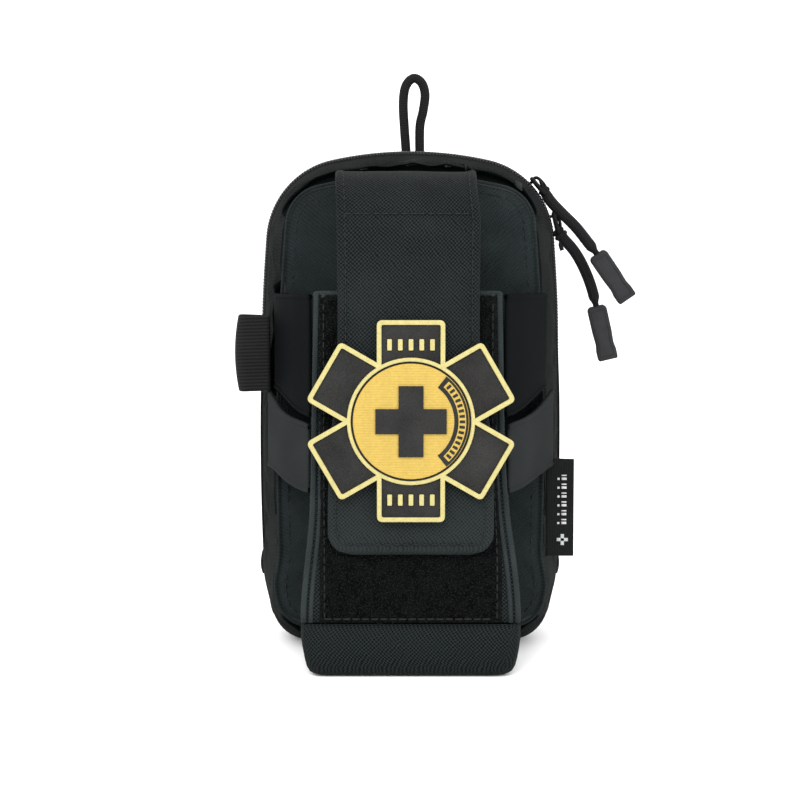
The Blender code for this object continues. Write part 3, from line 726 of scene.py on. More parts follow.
# Each pull's cord from the ring to the grip, the stretch inside the grip, and the grip's two ends.
PULLS = {
    "upper": {
        "route": [(0.0487, 0.0, 0.1664), (0.0511, -0.0004, 0.1624), (0.0552, -0.0010, 0.1580),
                  (0.0605, -0.0020, 0.1527), (0.0651, -0.0031, 0.1469), (0.0679, -0.0036, 0.1433)],
        "inside": (0.0725, -0.0036, 0.1366),
        "ring_end": (0.0475, 0.0, 0.1694),
        "grip": ((0.0681, -0.0036, 0.1430), (0.0795, -0.0036, 0.1265)),
    },
    "lower": {
        "route": [(0.0538, 0.0, 0.1515), (0.0564, 0.0002, 0.1482), (0.0597, 0.0004, 0.1445),
                  (0.0625, 0.0008, 0.1402), (0.0650, 0.0011, 0.1350), (0.0669, 0.0014, 0.1298),
                  (0.0684, 0.0015, 0.1240)],
        "inside": (0.0708, 0.0015, 0.1138),
        "ring_end": (0.0544, 0.0, 0.1520),
        "grip": ((0.0685, 0.0015, 0.1236), (0.0731, 0.0015, 0.1040)),
    },
}
PULL_CORD_DIAMETER = 0.0041


def line_length(points):
    return sum((b - a).length for a, b in zip(points, points[1:]))


def add_hanging_loop():
    route = smooth_line([(x, HANGING_LOOP_Y, z) for x, z in HANGING_ROUTE], 6)
    builder = Builder()
    builder.tube(route, HANGING_CORD_DIAMETER / 2, sides=16)
    loop = builder.piece("hanging_loop_cord", "cord", None, "cord", "hanging_loop")
    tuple(route[0])
    line_length(route)
    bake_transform(loop)


def add_pull_cord(word, grip):
    pull = PULLS[word]
    visible = smooth_line(pull["route"], 8)
    inside = [visible[-1].lerp(Vector(pull["inside"]), i / 6) for i in range(1, 7)]
    line = visible + inside
    full = PULL_CORD_DIAMETER / 2
    radii = []
    for i in range(len(line)):
        to_grip = (line[i] - Vector(pull["route"][-1])).length
        pinch = 0.55 + 0.45 * ease((to_grip - 0.0004) / 0.0028)
        start = 0.85 + 0.15 * ease((line[i] - line[0]).length / 0.0035)
        radii.append(full * (min(pinch, start) if i < len(visible) else 0.55))
    builder = Builder()
    builder.tube(line, radii, sides=16)
    cord = builder.piece(f"pull_cord_{word}", "cord", f"pull_{word}", "cord", f"pull_{word}_cord")
    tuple(line[0])
    line_length(line)


def add_grip(word):
    """A moulded rubber tab: flat, waisted past its middle, with a chamfered collar at the cord."""
    top, tip = (Vector(point) for point in PULLS[word]["grip"])
    down = (tip - top).normalized()
    side = Vector((down.z, 0.0, -down.x))
    half_width, half_depth, corner = 0.0035, 0.0026, 0.0007
    rows = []
    for share, wide, deep in ((0.0, 0.45, 0.50), (0.0, 0.72, 0.80), (0.03, 0.92, 0.95), (0.07, 1.0, 1.0),
                              (0.30, 1.0, 1.0), (0.50, 0.99, 0.98), (0.62, 0.95, 0.88), (0.70, 0.93, 0.86),
                              (0.76, 0.97, 0.92), (0.82, 1.03, 1.0), (0.94, 1.03, 1.0), (0.98, 1.01, 0.96),
                              (1.0, 0.95, 0.85), (1.0, 0.5, 0.45)):
        centre = top + (tip - top) * share
        x_reach, y_reach = half_width * wide, half_depth * deep
        outline = rounded_box(-x_reach, x_reach, -y_reach, y_reach, corner)
        rows.append([centre + side * x + BACKWARD * y for x, y in outline])
    builder = Builder()
    builder.grid(rows, wrap=True, cap_first=True, cap_last=True)
    rim = [(0.08, 0.70, 1.0), (0.50, 0.70, 1.0), (0.62, 0.64, 0.92), (0.70, 0.62, 0.92), (0.80, 0.70, 1.0),
           (0.93, 0.72, 1.0)]
    rim += [(share, -wide, deep) for share, wide, deep in rim[::-1]]
    for facing in (-1, 1):
        line = [top + (tip - top) * share + side * half_width * wide + BACKWARD * facing * half_depth * deep
                for share, wide, deep in rim]
        builder.tube(resampled(line, 0.0008, closed=True), 0.00022, sides=6, closed=True)
    return builder.piece(f"pull_grip_{word}", "rubber", f"pull_{word}", "rubber", f"pull_{word}_grip")


# ---------------------------------------------------------------- clamshell halves
def rim_inset(z):
    """How far the fabric's rim stands in from the zip line: more beside the zip than below its ends."""
    return 0.0004 + 0.0008 * ease((z - ZIP_END_LEVEL) / 0.010)


def inset_by(shape, rule, route=full_ring):
    """An outline whose inset follows its own height."""
    near, far = route(shape, 0.0), route(shape, 0.001)
    outline = []
    for (ax, az), (bx, bz) in zip(near, far):
        share = rule(az) / 0.001
        outline.append((mix(ax, bx, share), mix(az, bz, share)))
    return outline


# The gusset's profile: share of the way in from the zip to the panel's edge, share of the way out.
TAUT = [(0.0, 0.0), (0.10, 0.12), (0.24, 0.26), (0.38, 0.40), (0.52, 0.535), (0.68, 0.67), (0.82, 0.80),
        (0.93, 0.91), (1.0, 1.0)]
SUNKEN = [(0.0, 0.0), (0.22, 0.16), (0.46, 0.26), (0.62, 0.25), (0.92, 0.10), (1.45, 0.12), (1.66, 0.34),
          (1.50, 0.76), (1.0, 1.0)]
STEPS_PER_STATION = 5
# The seam round the panel: inset from its edge, rise of the cloth.
SEAM_RIDGE = [(0.0003, 0.0004), (0.0008, 0.0004), (0.0013, -0.0003), (0.0018, -0.0007), (0.0024, -0.0003),
              (0.0036, 0.0)]


def gusset_sag(x, z, side):
    """How far the gusset sinks behind the panel's edge: at the top, the foot and the webbing loop."""
    top = ease((z - 0.150) / 0.014)
    foot = 0.7 * (1 - ease((z - 0.008) / 0.008))
    if side > 0:
        return 0.3 * top
    beside_loop = ease((0.026 - abs(z - 0.112)) / 0.010) if x < 0 else 0.0
    beside_zip = 0.25 * ease((z - 0.036) / 0.020)
    return max(top, foot, beside_loop, beside_zip)


def shell_rows(panel, depth, side):
    """Rows of points from the zip rim over the gusset and the seam to the panel's middle."""
    rim = inset_by(ZIP_LINE, rim_inset)
    edge = full_ring(panel)
    taut, sunken = (
        smooth_line([(share, out, 0.0) for share, out in profile], STEPS_PER_STATION)
        for profile in (TAUT, SUNKEN)
    )
    rows = []
    last = len(taut) - 1
    for i, (tight, slack) in enumerate(zip(taut, sunken)):
        fullness = math.sin(math.pi * i / last)
        row = []
        for (ax, az), (bx, bz) in zip(rim, edge):
            sag = gusset_sag(bx, bz, side)
            share, out, _ = tight.lerp(slack, sag)
            y = RIM_FROM_ZIP + (depth - RIM_FROM_ZIP) * out
            place = Vector((mix(ax, bx, share), side * y, mix(az, bz, share)))
            outward = Vector((place.x, 0.0, place.z - MIDDLE_LEVEL)).normalized()
            pucker = sway(place, 120.0, 0.0006 + 0.0004 * sag) * fullness
            place += outward * pucker
            place.z = max(place.z, LOWEST)
            row.append(place)
        rows.append(row)
    for inset, rise in SEAM_RIDGE:
        ring = full_ring(panel, inset)
        rows.append([Vector((x, side * (depth + rise), z)) for x, z in ring])
    inner = full_ring(panel, STITCH_INSET)
    steps = 26
    for i in range(1, steps):
        share = 1 - i / steps
        row = []
        for x, z in inner:
            flat = Vector((x * share, 0.0, mix(MIDDLE_LEVEL, z, share)))
            crown = 0.0008 * ease((1 - share) * 3.0)
            ripple = sway(flat, 42.0, 0.0009) * ease((1 - share) * 4.0)
            row.append(Vector((flat.x, side * (depth + crown + ripple), flat.z)))
        rows.append(row)
    return rows


PINNED_ROWS = 7
CLOTH_FRAMES = 20
CLOTH_REACH = 0.0007


def swell(piece, pinned):
    """Lets the fabric swell and pucker under a light pressure, each point by no more than the reach."""
    scene = bpy.context.scene
    piece.vertex_groups.new(name="pinned").add(pinned, 1.0, "REPLACE")
    cloth = piece.modifiers.new("cloth", "CLOTH")
    cloth.settings.vertex_group_mass = "pinned"
    cloth.settings.use_pressure = True
    cloth.settings.uniform_pressure_force = 4.0
    cloth.settings.effector_weights.gravity = 0.0
    cloth.settings.shrink_min = -0.02
    cloth.collision_settings.use_collision = False
    cloth.point_cache.frame_end = CLOTH_FRAMES
    for number in range(1, CLOTH_FRAMES + 1):
        scene.frame_set(number)
    swollen = piece.evaluated_get(bpy.context.evaluated_depsgraph_get()).data
    moves = [after.co - before.co for after, before in zip(swollen.vertices, piece.data.vertices)]
    piece.modifiers.remove(cloth)
    scene.frame_set(1)
    for vertex, move in zip(piece.data.vertices, moves):
        if move.length > 1e-7:
            vertex.co += move.normalized() * CLOTH_REACH * math.tanh(move.length / CLOTH_REACH)
            vertex.co.z = max(vertex.co.z, LOWEST)


HALVES = (("front", -1, FRONT_PANEL, FRONT_DEPTH), ("back", 1, BACK_PANEL, BACK_DEPTH))


def add_shell(word, side, panel, depth):
    """One half's fabric: its gusset, its panel and the seam between them."""
    rows = shell_rows(panel, depth, side)
    if side > 0:
        rows = [row[::-1] for row in rows]
    builder = Builder()
    builder.grid(rows, wrap=True, cap_last=True)
    shell = builder.piece(f"shell_{word}", "panel", f"{word}_half", "cordura", f"{word}_shell")
    gusset, recess_shade, lining = 1, 2, 3
    for inner_material in ("gusset", "recess_shade", "lining"):
        shell.data.materials.append(materials[inner_material])
    gusset_rows = (len(TAUT) - 1) * STEPS_PER_STATION
    count = len(rows[0])
    seam = range((gusset_rows - 1) * count, (gusset_rows + len(SEAM_RIDGE) + 1) * count)
    backed = range(seam.stop, len(shell.data.vertices)) if side > 0 else ()
    swell(shell, [*range(PINNED_ROWS * count), *seam, *backed])
    # Painted shade: gusset rows that sink behind the panel's edge take the dark recess material, from a row
    # nearer the rim the deeper they sink.
    for face in shell.data.polygons[:gusset_rows * count]:
        sag = gusset_sag(face.center.x, face.center.z, side)
        recess_shade_row = mix(26, 14, ease((sag - 0.2) / 0.6))
        face.material_index = recess_shade if sag > 0.2 and face.index > recess_shade_row * count else gusset
    thicken(shell, SHELL_WALL * 0.7).material_offset = lining


def add_seam_stitches(word, side, panel, depth):
    """Topstitching inside the panel's edge."""
    ring = full_ring(panel, STITCH_INSET)
    builder = Builder()
    sew(builder, [Vector((x, side * depth, z)) for x, z in ring], BACKWARD * side, closed=True)
    builder.piece(f"{word}_seam_stitches", "thread", f"{word}_half", "cordura")


# ---------------------------------------------------------------- zip
COIL_PITCH = 0.00115
STEPS_PER_TURN = 8


def tape_inset(z):
    return 0.0010 + 0.0004 * ease((z - 0.090) / 0.030)


def coil_inset(z):
    return 0.0013 - 0.0005 * ease((z - 0.100) / 0.030)


def add_zip_tape(word, side):
    """The tape from the coil to the shell's rim."""
    path = [Vector((x, 0.0, z)) for x, z in inset_by(ZIP_LINE, tape_inset, zip_path)]
    near, far = 0.0019, 0.0060
    middle = side * (near + far) / 2
    centres, normals = [], []
    for i, point in enumerate(path):
        along = heading(path, i).normalized()
        outward = Vector((along.z, 0.0, -along.x))
        if outward.dot(Vector((point.x, 0.0, point.z - MIDDLE_LEVEL))) < 0:
            outward = -outward
        centres.append(point + BACKWARD * middle)
        normals.append(outward)
    builder = Builder()
    builder.ribbon(centres, BACKWARD, normals, far - near, 0.0007)
    builder.piece(f"tape_{word}", "tape", f"{word}_half", "webbing", f"zip_tape_{word}")


def add_zip_coil(word, side):
    """One half of the chain: a flattened helix of monofilament along the zip line."""
    path = [Vector((x, 0.0, z)) for x, z in inset_by(ZIP_LINE, coil_inset, zip_path)]
    turns_line = resampled(path, COIL_PITCH / STEPS_PER_TURN)
    frames = transported(turns_line, BACKWARD)
    start = 0.0 if side < 0 else math.pi
    points = []
    for i, (point, (outward, _)) in enumerate(zip(turns_line, frames)):
        angle = start + 2 * math.pi * i / STEPS_PER_TURN
        y = side * 0.00095 + 0.00125 * math.cos(angle)
        points.append(point + BACKWARD * y + outward * (0.00065 * math.sin(angle)))
    builder = Builder()
    builder.tube(points, 0.00032, sides=6)
    builder.piece(f"coil_{word}", "coil", f"{word}_half", "zip_coil", f"zip_chain_{word}")


def add_lower_gusset():
    """The fabric under the pouch and below the zip's ends."""
    rows = []
    reach = RIM_FROM_ZIP + 0.0006
    count = 14
    for i in range(count + 1):
        y = -reach + 2 * reach * i / count
        bulge = 0.0004 * math.cos(math.pi * y / (2 * reach))
        ring = foot_path(ZIP_LINE, 0.0006 - bulge)
        rows.append([Vector((x, y, max(z, LOWEST))) for x, z in ring])
    builder = Builder()
    builder.grid(rows)
    gusset = builder.piece("lower_gusset", "gusset", None, "cordura",
                           ("lower_gusset_front", "lower_gusset_back"))
    thicken(gusset, 0.0008)
    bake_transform(gusset)


def add_zip_end_tabs():
    """A folded scrap of webbing sewn over each end of the zip."""
    for word, side in SIDES:
        low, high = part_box(f"zip_end_tab_{word}")
        middle = (low + high) / 2
        centres = []
        for i in range(9):
            z = mix(low.z, high.z, i / 8)
            bow = side * (0.0005 * math.sin(math.pi * i / 8) - 0.0026)
            centres.append(Vector((middle.x * draw_in(z) + bow, middle.y, z)))
        builder = Builder()
        builder.ribbon(centres, BACKWARD, RIGHTWARD * side, high.y - low.y, high.x - low.x)
        builder.piece(f"end_tab_{word}", "webbing", "back_half", "webbing", f"zip_end_tab_{word}")


# ---------------------------------------------------------------- tourniquet holder
def holder_half(level):
    """Half the holder's width: straight down to the flap's tip, then flaring to the cup."""
    flare = ease((0.062 - level) / (0.062 - HOLDER_SEAM))
    return mix(mix(0.0333, 0.0347, (HOLDER_TOP - level) / 0.07) if level > 0.062 else 0.0347, 0.0381, flare)


def holder_lean(level):
    """How far the holder's right side leans in above its foot."""
    return 0.0020 * ease((level - 0.035) / 0.050)


def flap_lean(level):
    """How far the flap's right edge lies in, most where it bends over the top."""
    return 0.0016 * ease((level - 0.085) / 0.030) + 0.0018 * ease((level - 0.155) / 0.017)


def lean_in(builder, lean=holder_lean, half_width=0.031):
    """Moves the right half of a mesh in towards the middle, most at its edge."""
    builder.points = [
        point - RIGHTWARD * lean(point.z) * min(1.0, max(0.0, point.x / half_width))
        for point in builder.points
    ]


def sleeve_ring(level):
    """A U open towards the pouch: the outer wall one way and the inner wall back."""
    half = holder_half(level)
    wall = 0.0018
    bulge = sway((0.0, 0.0, level), 60.0, 0.0004)

    def trace(reach, front, radius):
        points = []
        for i in range(14):
            hollow = -0.0007 * math.sin(math.pi * i / 14)
            points.append((-(reach + hollow + bulge), mix(HOLDER_BACK, front + radius, i / 14)))
        points += quarter_turn(-reach + radius, front + radius, radius, 180, steps=6)
        points += [(mix(-reach + radius, 0.0, i / 12), front) for i in range(1, 13)]
        return points + [(-x, y) for x, y in points[-2::-1]]

    outer = trace(half, HOLDER_FRONT, 0.0034)
    inner = trace(half - wall, HOLDER_FRONT + wall, 0.0018)
    slant = 0.0075 * ease((level - 0.112) / (HOLDER_TOP - 0.112))

    def height(y):
        return level - slant * min(1.0, max(0.0, (y - HOLDER_FRONT) / (HOLDER_BACK - HOLDER_FRONT)))

    return [Vector((x, y, height(y))) for x, y in outer + inner[::-1]]


def add_holder_sleeve():
    count = 44
    levels = [mix(HOLDER_SEAM, HOLDER_TOP, i / count) for i in range(count + 1)]
    builder = Builder()
    builder.grid([sleeve_ring(level) for level in levels], wrap=True, cap_first=True, cap_last=True)
    lean_in(builder)
    builder.piece("sleeve", "cordura", "front_half", "cordura", "holder_sleeve")
    edges = Builder()
    for side in (-1, 1):
        for inward, wide in ((0.0013, 0.0018), (0.0037, 0.0016)):
            centres = [
                Vector((side * (holder_half(level) - inward), HOLDER_FRONT - 0.0001, level))
                for level in levels
            ]
            edges.ribbon(centres, RIGHTWARD, -BACKWARD, wide, 0.0011, flats=3)
    lean_in(edges)
    edges.piece("sleeve_edge_folds", "hem", "front_half", "cordura")
    top = Builder()
    ring = sleeve_ring(HOLDER_TOP)
    half_ring = len(ring) // 2
    middle = [a.lerp(b, 0.5) for a, b in zip(ring[:half_ring], ring[::-1])]
    top.tube(middle, 0.0010, sides=10, upright=UP)
    lean_in(top)
    top.piece("sleeve_top_binding", "hem", "front_half", "cordura")


def cup_ring(level, half, front, back, radius):
    """One level of the cup: a rectangle with round corners, filled up with points along its sides."""
    reach, near, far = half - radius, front + radius, back - radius
    points = []
    for start, x, y in ((270, reach, near), (0, reach, far), (90, -reach, far), (180, -reach, near)):
        points += [Vector((a, b, level)) for a, b in quarter_turn(x, y, radius, start, steps=6)]
    result = []
    for a, b in zip(points, points[1:] + points[:1]):
        steps = max(1, round((b - a).length / 0.003))
        result.extend(a.lerp(b, i / steps) for i in range(steps))
    return result


def add_holder_cup():
    """The holder's closed foot: rounded under, with a rolled top edge that meets the sleeve."""
    front, back = HOLDER_FRONT, HOLDER_BACK
    stations = [
        (0.0000, 0.0285, 0.0040, 0.0050), (0.0000, 0.0318, 0.0012, 0.0036), (0.0004, 0.0335, -0.0008, 0.0022),
        (0.0014, 0.0350, -0.0020, 0.0010), (0.0034, 0.0361, -0.0028, 0.0004), (0.0063, 0.0368, -0.0031, 0.0),
        (0.0097, 0.0374, -0.0030, 0.0), (0.0132, 0.0379, -0.0024, 0.0), (0.0165, 0.0380, -0.0013, 0.0),
        (0.0182, 0.0377, -0.0003, 0.0),
    ]
    rows = [
        cup_ring(level, half, front + tuck_front, back - tuck_back, 0.0040)
        for level, half, tuck_front, tuck_back in stations
    ]
    count = min(len(row) for row in rows)
    rows = [resampled_ring(row, count) for row in rows]
    builder = Builder()
    builder.grid(rows, wrap=True, cap_first=True)
    cup = builder.piece("cup", "cup", "front_half", "cordura", "holder_cup")
    thicken(cup, SHELL_WALL)


def resampled_ring(ring, count):
    line = resampled(ring, 0.0001, closed=True)
    return [line[round(i * len(line) / count) % len(line)] for i in range(count)]


def spots(low, high, spacing, inset):
    """Evenly spaced (x, z) places over the face of a box, row by row from its foot."""
    z = low.z + 0.0010
    while z < high.z - 0.0008:
        x = low.x + inset
        while x < high.x - inset + 0.0002:
            yield x, z
            x += spacing
        z += spacing


def add_loop_field():
    """Loop fastener on the holder's front: a matted ground with thousands of small nylon loops."""
    low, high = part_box("loop_field")
    front = low.y + 0.0005
    ground = Builder()
    columns, rows_count = 40, 70
    rows = []
    for i in range(rows_count + 1):
        z = mix(low.z, high.z, i / rows_count)
        row = []
        for j in range(columns + 1):
            x = mix(low.x, high.x, j / columns)
            edge = min(j, columns - j, i, rows_count - i)
            tuck = 0.0008 if edge == 0 else 0.0
            row.append(Vector((x, front + tuck + sway((x, 0.0, z), 700.0, 0.0002), z)))
        rows.append(row)
    ground.grid(rows)
    lean_in(ground)
    pad = ground.piece("loop_ground", "loop_ground", "front_half", "hook_and_loop", "loop_field")
    thicken(pad, 0.0009)
    chance = random.Random(7)
    pile = Builder()
    for x, z in spots(low, high, 0.0010, 0.0008):
        foot = Vector((x + chance.uniform(-0.0005, 0.0005), front, z + chance.uniform(-0.0005, 0.0005)))
        bearing = chance.uniform(0, 2 * math.pi)
        reach = chance.uniform(0.0005, 0.0010)
        height = chance.uniform(0.0005, 0.0010)
        lean = Vector((math.cos(bearing), 0.0, math.sin(bearing)))
        skew = Vector((chance.uniform(-1, 1), 0.0, chance.uniform(-1, 1))) * 0.0003
        points = [foot, foot + lean * reach * 0.15 - BACKWARD * height * 0.75 + skew,
                  foot + lean * reach * 0.6 - BACKWARD * height + skew,
                  foot + lean * reach - BACKWARD * height * 0.6, foot + lean * reach * 1.1]
        pile.tube(points, 0.00011, sides=3)
    lean_in(pile)
    pile.piece("loop_pile", "loop_pile", "front_half", "hook_and_loop")
    thread = Builder()
    margin = 0.0016
    foot = [Vector((x, front - 0.0009, low.z + margin)) for x in (low.x + margin, high.x - margin)]
    sew(thread, foot, -BACKWARD, radius=0.00032)
    for x in (low.x + margin, high.x - margin):
        sew(thread, [Vector((x, front - 0.0002, z)) for z in (low.z + margin, high.z - margin)], -BACKWARD)
    lean_in(thread)
    thread.piece("loop_field_stitches", "thread", "front_half", "cordura")


# ---------------------------------------------------------------- side straps, loop and label
def add_side_strap(name, side, reach_out, outer, inner, material, node, dip=0.0):
    """A strip of stretch fabric from the panel's edge to the holder's front edge."""
    outer_place = Vector((side * reach_out, HOLDER_BACK - 0.0008, 0.0))
    outward = Vector((side * 0.92, -0.38, 0.0))
    count = 26
    centres, widths, top_edge, foot_edge = [], [], [], []
    for i in range(count + 1):
        share = i / count
        low = mix(outer[0], inner[0], ease(share))
        high = mix(outer[1], inner[1], share) - dip * math.sin(math.pi * share) ** 1.5
        level = (low + high) / 2
        reach = holder_half(level) + 0.0006 - (holder_lean(level) if side > 0 else 0.0)
        inner_place = Vector((side * reach, HOLDER_FRONT + 0.0022, 0.0))
        place = outer_place.lerp(inner_place, share)
        bow = 0.0012 * math.sin(math.pi * share)
        place += outward * (bow + sway((share * 0.03, side, low), 55.0, 0.0006))
        top_edge.append(place + UP * high)
        foot_edge.append(place + UP * low)
        centres.append(place + UP * level)
        widths.append(high - low)
    strip = Builder()
    strip.ribbon(centres, UP, outward, widths, 0.0010, flats=16)
    strap = strip.piece(name, material, "front_half", "cordura", node)
    area = sum(w * (b - a).length for w, a, b in zip(widths, centres, centres[1:]))
    length = line_length(centres)
    max(widths)
    hems = Builder()
    for edge, inward in ((top_edge, -1), (foot_edge, 1)):
        line = [point + UP * inward * 0.0010 for point in edge]
        hems.ribbon(line, UP, outward, 0.0020, 0.0016, flats=2)
    hems.piece(f"{name}_hems", material, "front_half", "cordura")


def add_side_straps():
    for word, side in SIDES:
        add_side_strap(f"band_{word}", side, 0.0480, (0.0960, 0.1300), (0.0895, 0.1316), "band",
                       f"side_band_{word}")
        add_side_strap(f"stretch_wing_{word}", side, 0.0504, (0.0680, 0.0958), (0.0632, 0.0872), "stretch",
                       f"wing_{word}", dip=0.0018)


def add_webbing_loop():
    """A folded loop of ribbed webbing that stands out of the left seam."""
    low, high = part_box("side_webbing_loop")
    fold = (high.y - low.y) / 2 - 0.0006
    middle = (high.y + low.y) / 2
    tip = low.x + fold + 0.0006
    root = high.x + 0.0004
    level, half = (low.z + high.z) / 2, (high.z - low.z) / 2
    plan = [(mix(root, tip, i / 8), middle + fold) for i in range(8)]
    plan += quarter_turn(tip, middle, fold, 90, steps=6) + quarter_turn(tip, middle, fold, 180, steps=6)[1:]
    plan += [(mix(tip, root, i / 8), middle - fold) for i in range(1, 9)]
    centres = [Vector((x, y, level)) for x, y in plan]
    normals = []
    for i in range(len(centres)):
        along = heading(centres, i)
        normals.append(Vector((along.y, -along.x, 0.0)).normalized())
    shares = [abs(2 * i / (len(centres) - 1) - 1) for i in range(len(centres))]
    widths = [(high.z - low.z) * (1.0 - 0.035 * share) for share in shares]
    builder = Builder()
    builder.ribbon(centres, UP, normals, widths, 0.0012, flats=20)
    for point in builder.points:
        outness = (root - point.x) / (root - tip)
        point.x -= 0.0010 * max(0.0, outness) * (1 - ((point.z - level) / half) ** 2) - 0.0013 * outness
        point.z += 0.0010
    builder.piece("webbing_loop", "loop_webbing", "front_half", "webbing", "side_webbing_loop")


def add_side_label():
    """A folded label out of the right seam, with a plain cross and a few plain bars on it."""
    low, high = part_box("side_label")
    middle = (low.y + high.y) / 2
    level = (low.z + high.z) / 2
    centres = straight((low.x, middle, level), (high.x - 0.0008, middle, level), 10)
    for i, point in enumerate(centres):
        point.y -= 0.0006 * (i / 10) ** 2
    builder = Builder()
    widths = [high.z - low.z - 0.0004 * i / 10 for i in range(11)]
    builder.ribbon(centres, UP, -BACKWARD, widths, 0.0010, flats=20)
    builder.piece("label_tape", "tape", "front_half", "webbing", "side_label")
    marks = Builder()
    face = middle - 0.0009
    x = mix(low.x, high.x, 0.55)

    def bar(x_low, x_high, z_low, z_high):
        level = (z_low + z_high) / 2
        line = straight((x_low, face, level), (x_high, face, level), 3)
        marks.ribbon(line, UP, -BACKWARD, z_high - z_low, 0.00025, flats=2)

    level = low.z + 0.0062
    bar(x - 0.0020, x + 0.0020, level - 0.0006, level + 0.0006)
    bar(x - 0.0006, x + 0.0006, level - 0.0020, level + 0.0020)
    for i in range(6):
        start = low.z + 0.0118 + 0.0032 * i
        bar(x - 0.0004, x + 0.0014, start, start + 0.0009)
        bar(x - 0.0004, x + 0.0014, start + 0.0014, start + 0.0019)
        bar(x - 0.0019, x - 0.0011, start, start + 0.0008)
    marks.piece("label_marks", "label_mark", "front_half", "webbing")


# ---------------------------------------------------------------- flap
FLAP_THICKNESS = 0.0015
# Outer face of the flap from its sewn edge to its tip: (y, z, half width).
FLAP_STATIONS = [
    (-0.0268, 0.1722, 0.0260), (-0.0360, 0.1730, 0.0261), (-0.0450, 0.1726, 0.0260),
    (-0.0540, 0.1700, 0.0258), (-0.0610, 0.1645, 0.0254), (-0.0650, 0.1560, 0.0251),
    (-0.0666, 0.1460, 0.0249), (FLAP_FRONT, 0.1200, 0.0248), (FLAP_FRONT, 0.1000, 0.0255),
    (FLAP_FRONT, 0.0850, 0.0270), (FLAP_FRONT, 0.0630, 0.0282), (FLAP_FRONT, 0.0431, 0.0283),
]
FLAP_TIP_RADIUS = 0.0077


def flap_line():
    """The flap's lengthwise centre line at an even spacing, with its half widths and outward normals."""
    spine = smooth_line([(y, z, half) for y, z, half in FLAP_STATIONS], 12)
    flat = [Vector((0.0, p.x, p.y)) for p in spine]
    line = resampled(flat, 0.0012)
    halves, normals = [], []
    runs = running_lengths(line)
    for i, point in enumerate(line):
        nearest = min(range(len(flat)), key=lambda k: (flat[k] - point).length)
        half = spine[nearest].z
        to_tip = runs[-1] - runs[i]
        if to_tip < FLAP_TIP_RADIUS:
            cut = FLAP_TIP_RADIUS - to_tip
            half -= FLAP_TIP_RADIUS - math.sqrt(max(0.0, FLAP_TIP_RADIUS**2 - cut**2))
        halves.append(half)
        along = heading(line, i).normalized()
        normals.append(Vector((0.0, along.z, -along.y)))
    return line, halves, normals


def flap_surface(line, halves, normals):
    """Outer and inner rows of the flap, with a raised hem that follows its edge."""
    hem_width, hem_rise, edge_radius = 0.0034, 0.00032, 0.0007
    runs = running_lengths(line)
    outline = list(zip(halves, runs))
    edge = np.array(outline + [(-x, run) for x, run in outline[::-1]])
    columns = 56
    rows = []
    for centre, half, normal, run in zip(line, halves, normals, runs):
        outer, inner = [], []
        for j in range(columns + 1):
            u = 2 * j / columns - 1
            x = half * math.sin(math.pi / 2 * u) * 0.35 + half * u * 0.65
            gap = min(distance_to(edge, (x, run)), runs[-1] - run)
            roll = 1 - math.sqrt(max(0.0, 1 - max(0.0, 1 - gap / edge_radius) ** 2))
            hem = hem_rise * (1 - ease((gap - hem_width + 0.0006) / 0.0006))
            drift = sway((x, run, 0.3), 38.0, 0.0005)
            outer.append(centre + RIGHTWARD * x + normal * (drift + hem - roll * FLAP_THICKNESS / 2))
            inner.append(centre + RIGHTWARD * x + normal * (drift - FLAP_THICKNESS * (1 - roll / 2)))
        rows.append(outer + inner[::-1])
    return rows


def distance_to(polygon, point):
    """The shortest distance from a point to a chain of straight segments."""
    p = np.array(point)
    a, b = polygon[:-1], polygon[1:]
    ab = b - a
    t = np.clip(((p - a) * ab).sum(1) / np.maximum((ab * ab).sum(1), 1e-12), 0, 1)
    return float(np.linalg.norm(a + ab * t[:, None] - p, axis=1).min())


def add_flap():
    line, halves, normals = flap_line()
    rows = flap_surface(line, halves, normals)
    builder = Builder()
    builder.grid(rows, wrap=True, cap_first=True, cap_last=True)
    lean_in(builder, flap_lean, 0.025)
    flap = builder.piece("flap_cloth", "flap", "flap", "cordura", "flap_panel")
    length = line_length(line)
    area = sum(2 * half * (b - a).length for half, a, b in zip(halves, line, line[1:]))
    2 * max(halves)
    thread = Builder()
    inset = 0.0028
    right = []
    for centre, half, normal, run in zip(line, halves, normals, running_lengths(line)):
        to_tip = length - run
        if to_tip > inset and run > 0.020:
            shrink = inset if to_tip > FLAP_TIP_RADIUS else inset * 1.2
            drift = sway((half, run, 0.3), 38.0, 0.0005)
            right.append(centre + RIGHTWARD * (half - shrink) + normal * (0.0003 + drift))
    left = [Vector((-point.x, point.y, point.z)) for point in right]
    sew(thread, right + left[::-1], flap_facing)
    cross = next(point for point in right if abs(point.z - 0.1588) < 0.0008)
    sew(thread, [Vector((x, cross.y - 0.0002, cross.z)) for x in (-0.0225, 0.0225)], flap_facing)
    lean_in(thread, flap_lean, 0.025)
    thread.piece("flap_stitches", "thread", "flap", "cordura")


def flap_facing(point):
    """The flap's outward direction at a point on it."""
    turn = ease((0.176 - point.z) / 0.022)
    return Vector((0.0, -turn, 1.0 - turn)).normalized()


def add_flap_hooks():
    """The hook strip behind the flap, with rows of small nylon hooks."""
    low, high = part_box("flap_hook_strip")
    builder = Builder()
    face = high.y - 0.0004
    middle = (low.y + face) / 2
    line = straight((0.0, middle, low.z), (0.0, middle, high.z), 10)
    builder.ribbon(line, RIGHTWARD, BACKWARD, high.x - low.x, face - low.y, flats=10)
    for x, z in spots(low, high, 0.0015, 0.0012):
        foot = Vector((x, face - 0.0001, z))
        builder.tube([foot, foot + BACKWARD * 0.0003, foot + BACKWARD * 0.00045 + UP * 0.0002,
                      foot + BACKWARD * 0.0003 + UP * 0.0004], 0.00010, sides=3)
    builder.piece("flap_hooks", "hook", "flap", "hook_and_loop", "flap_hook_strip")


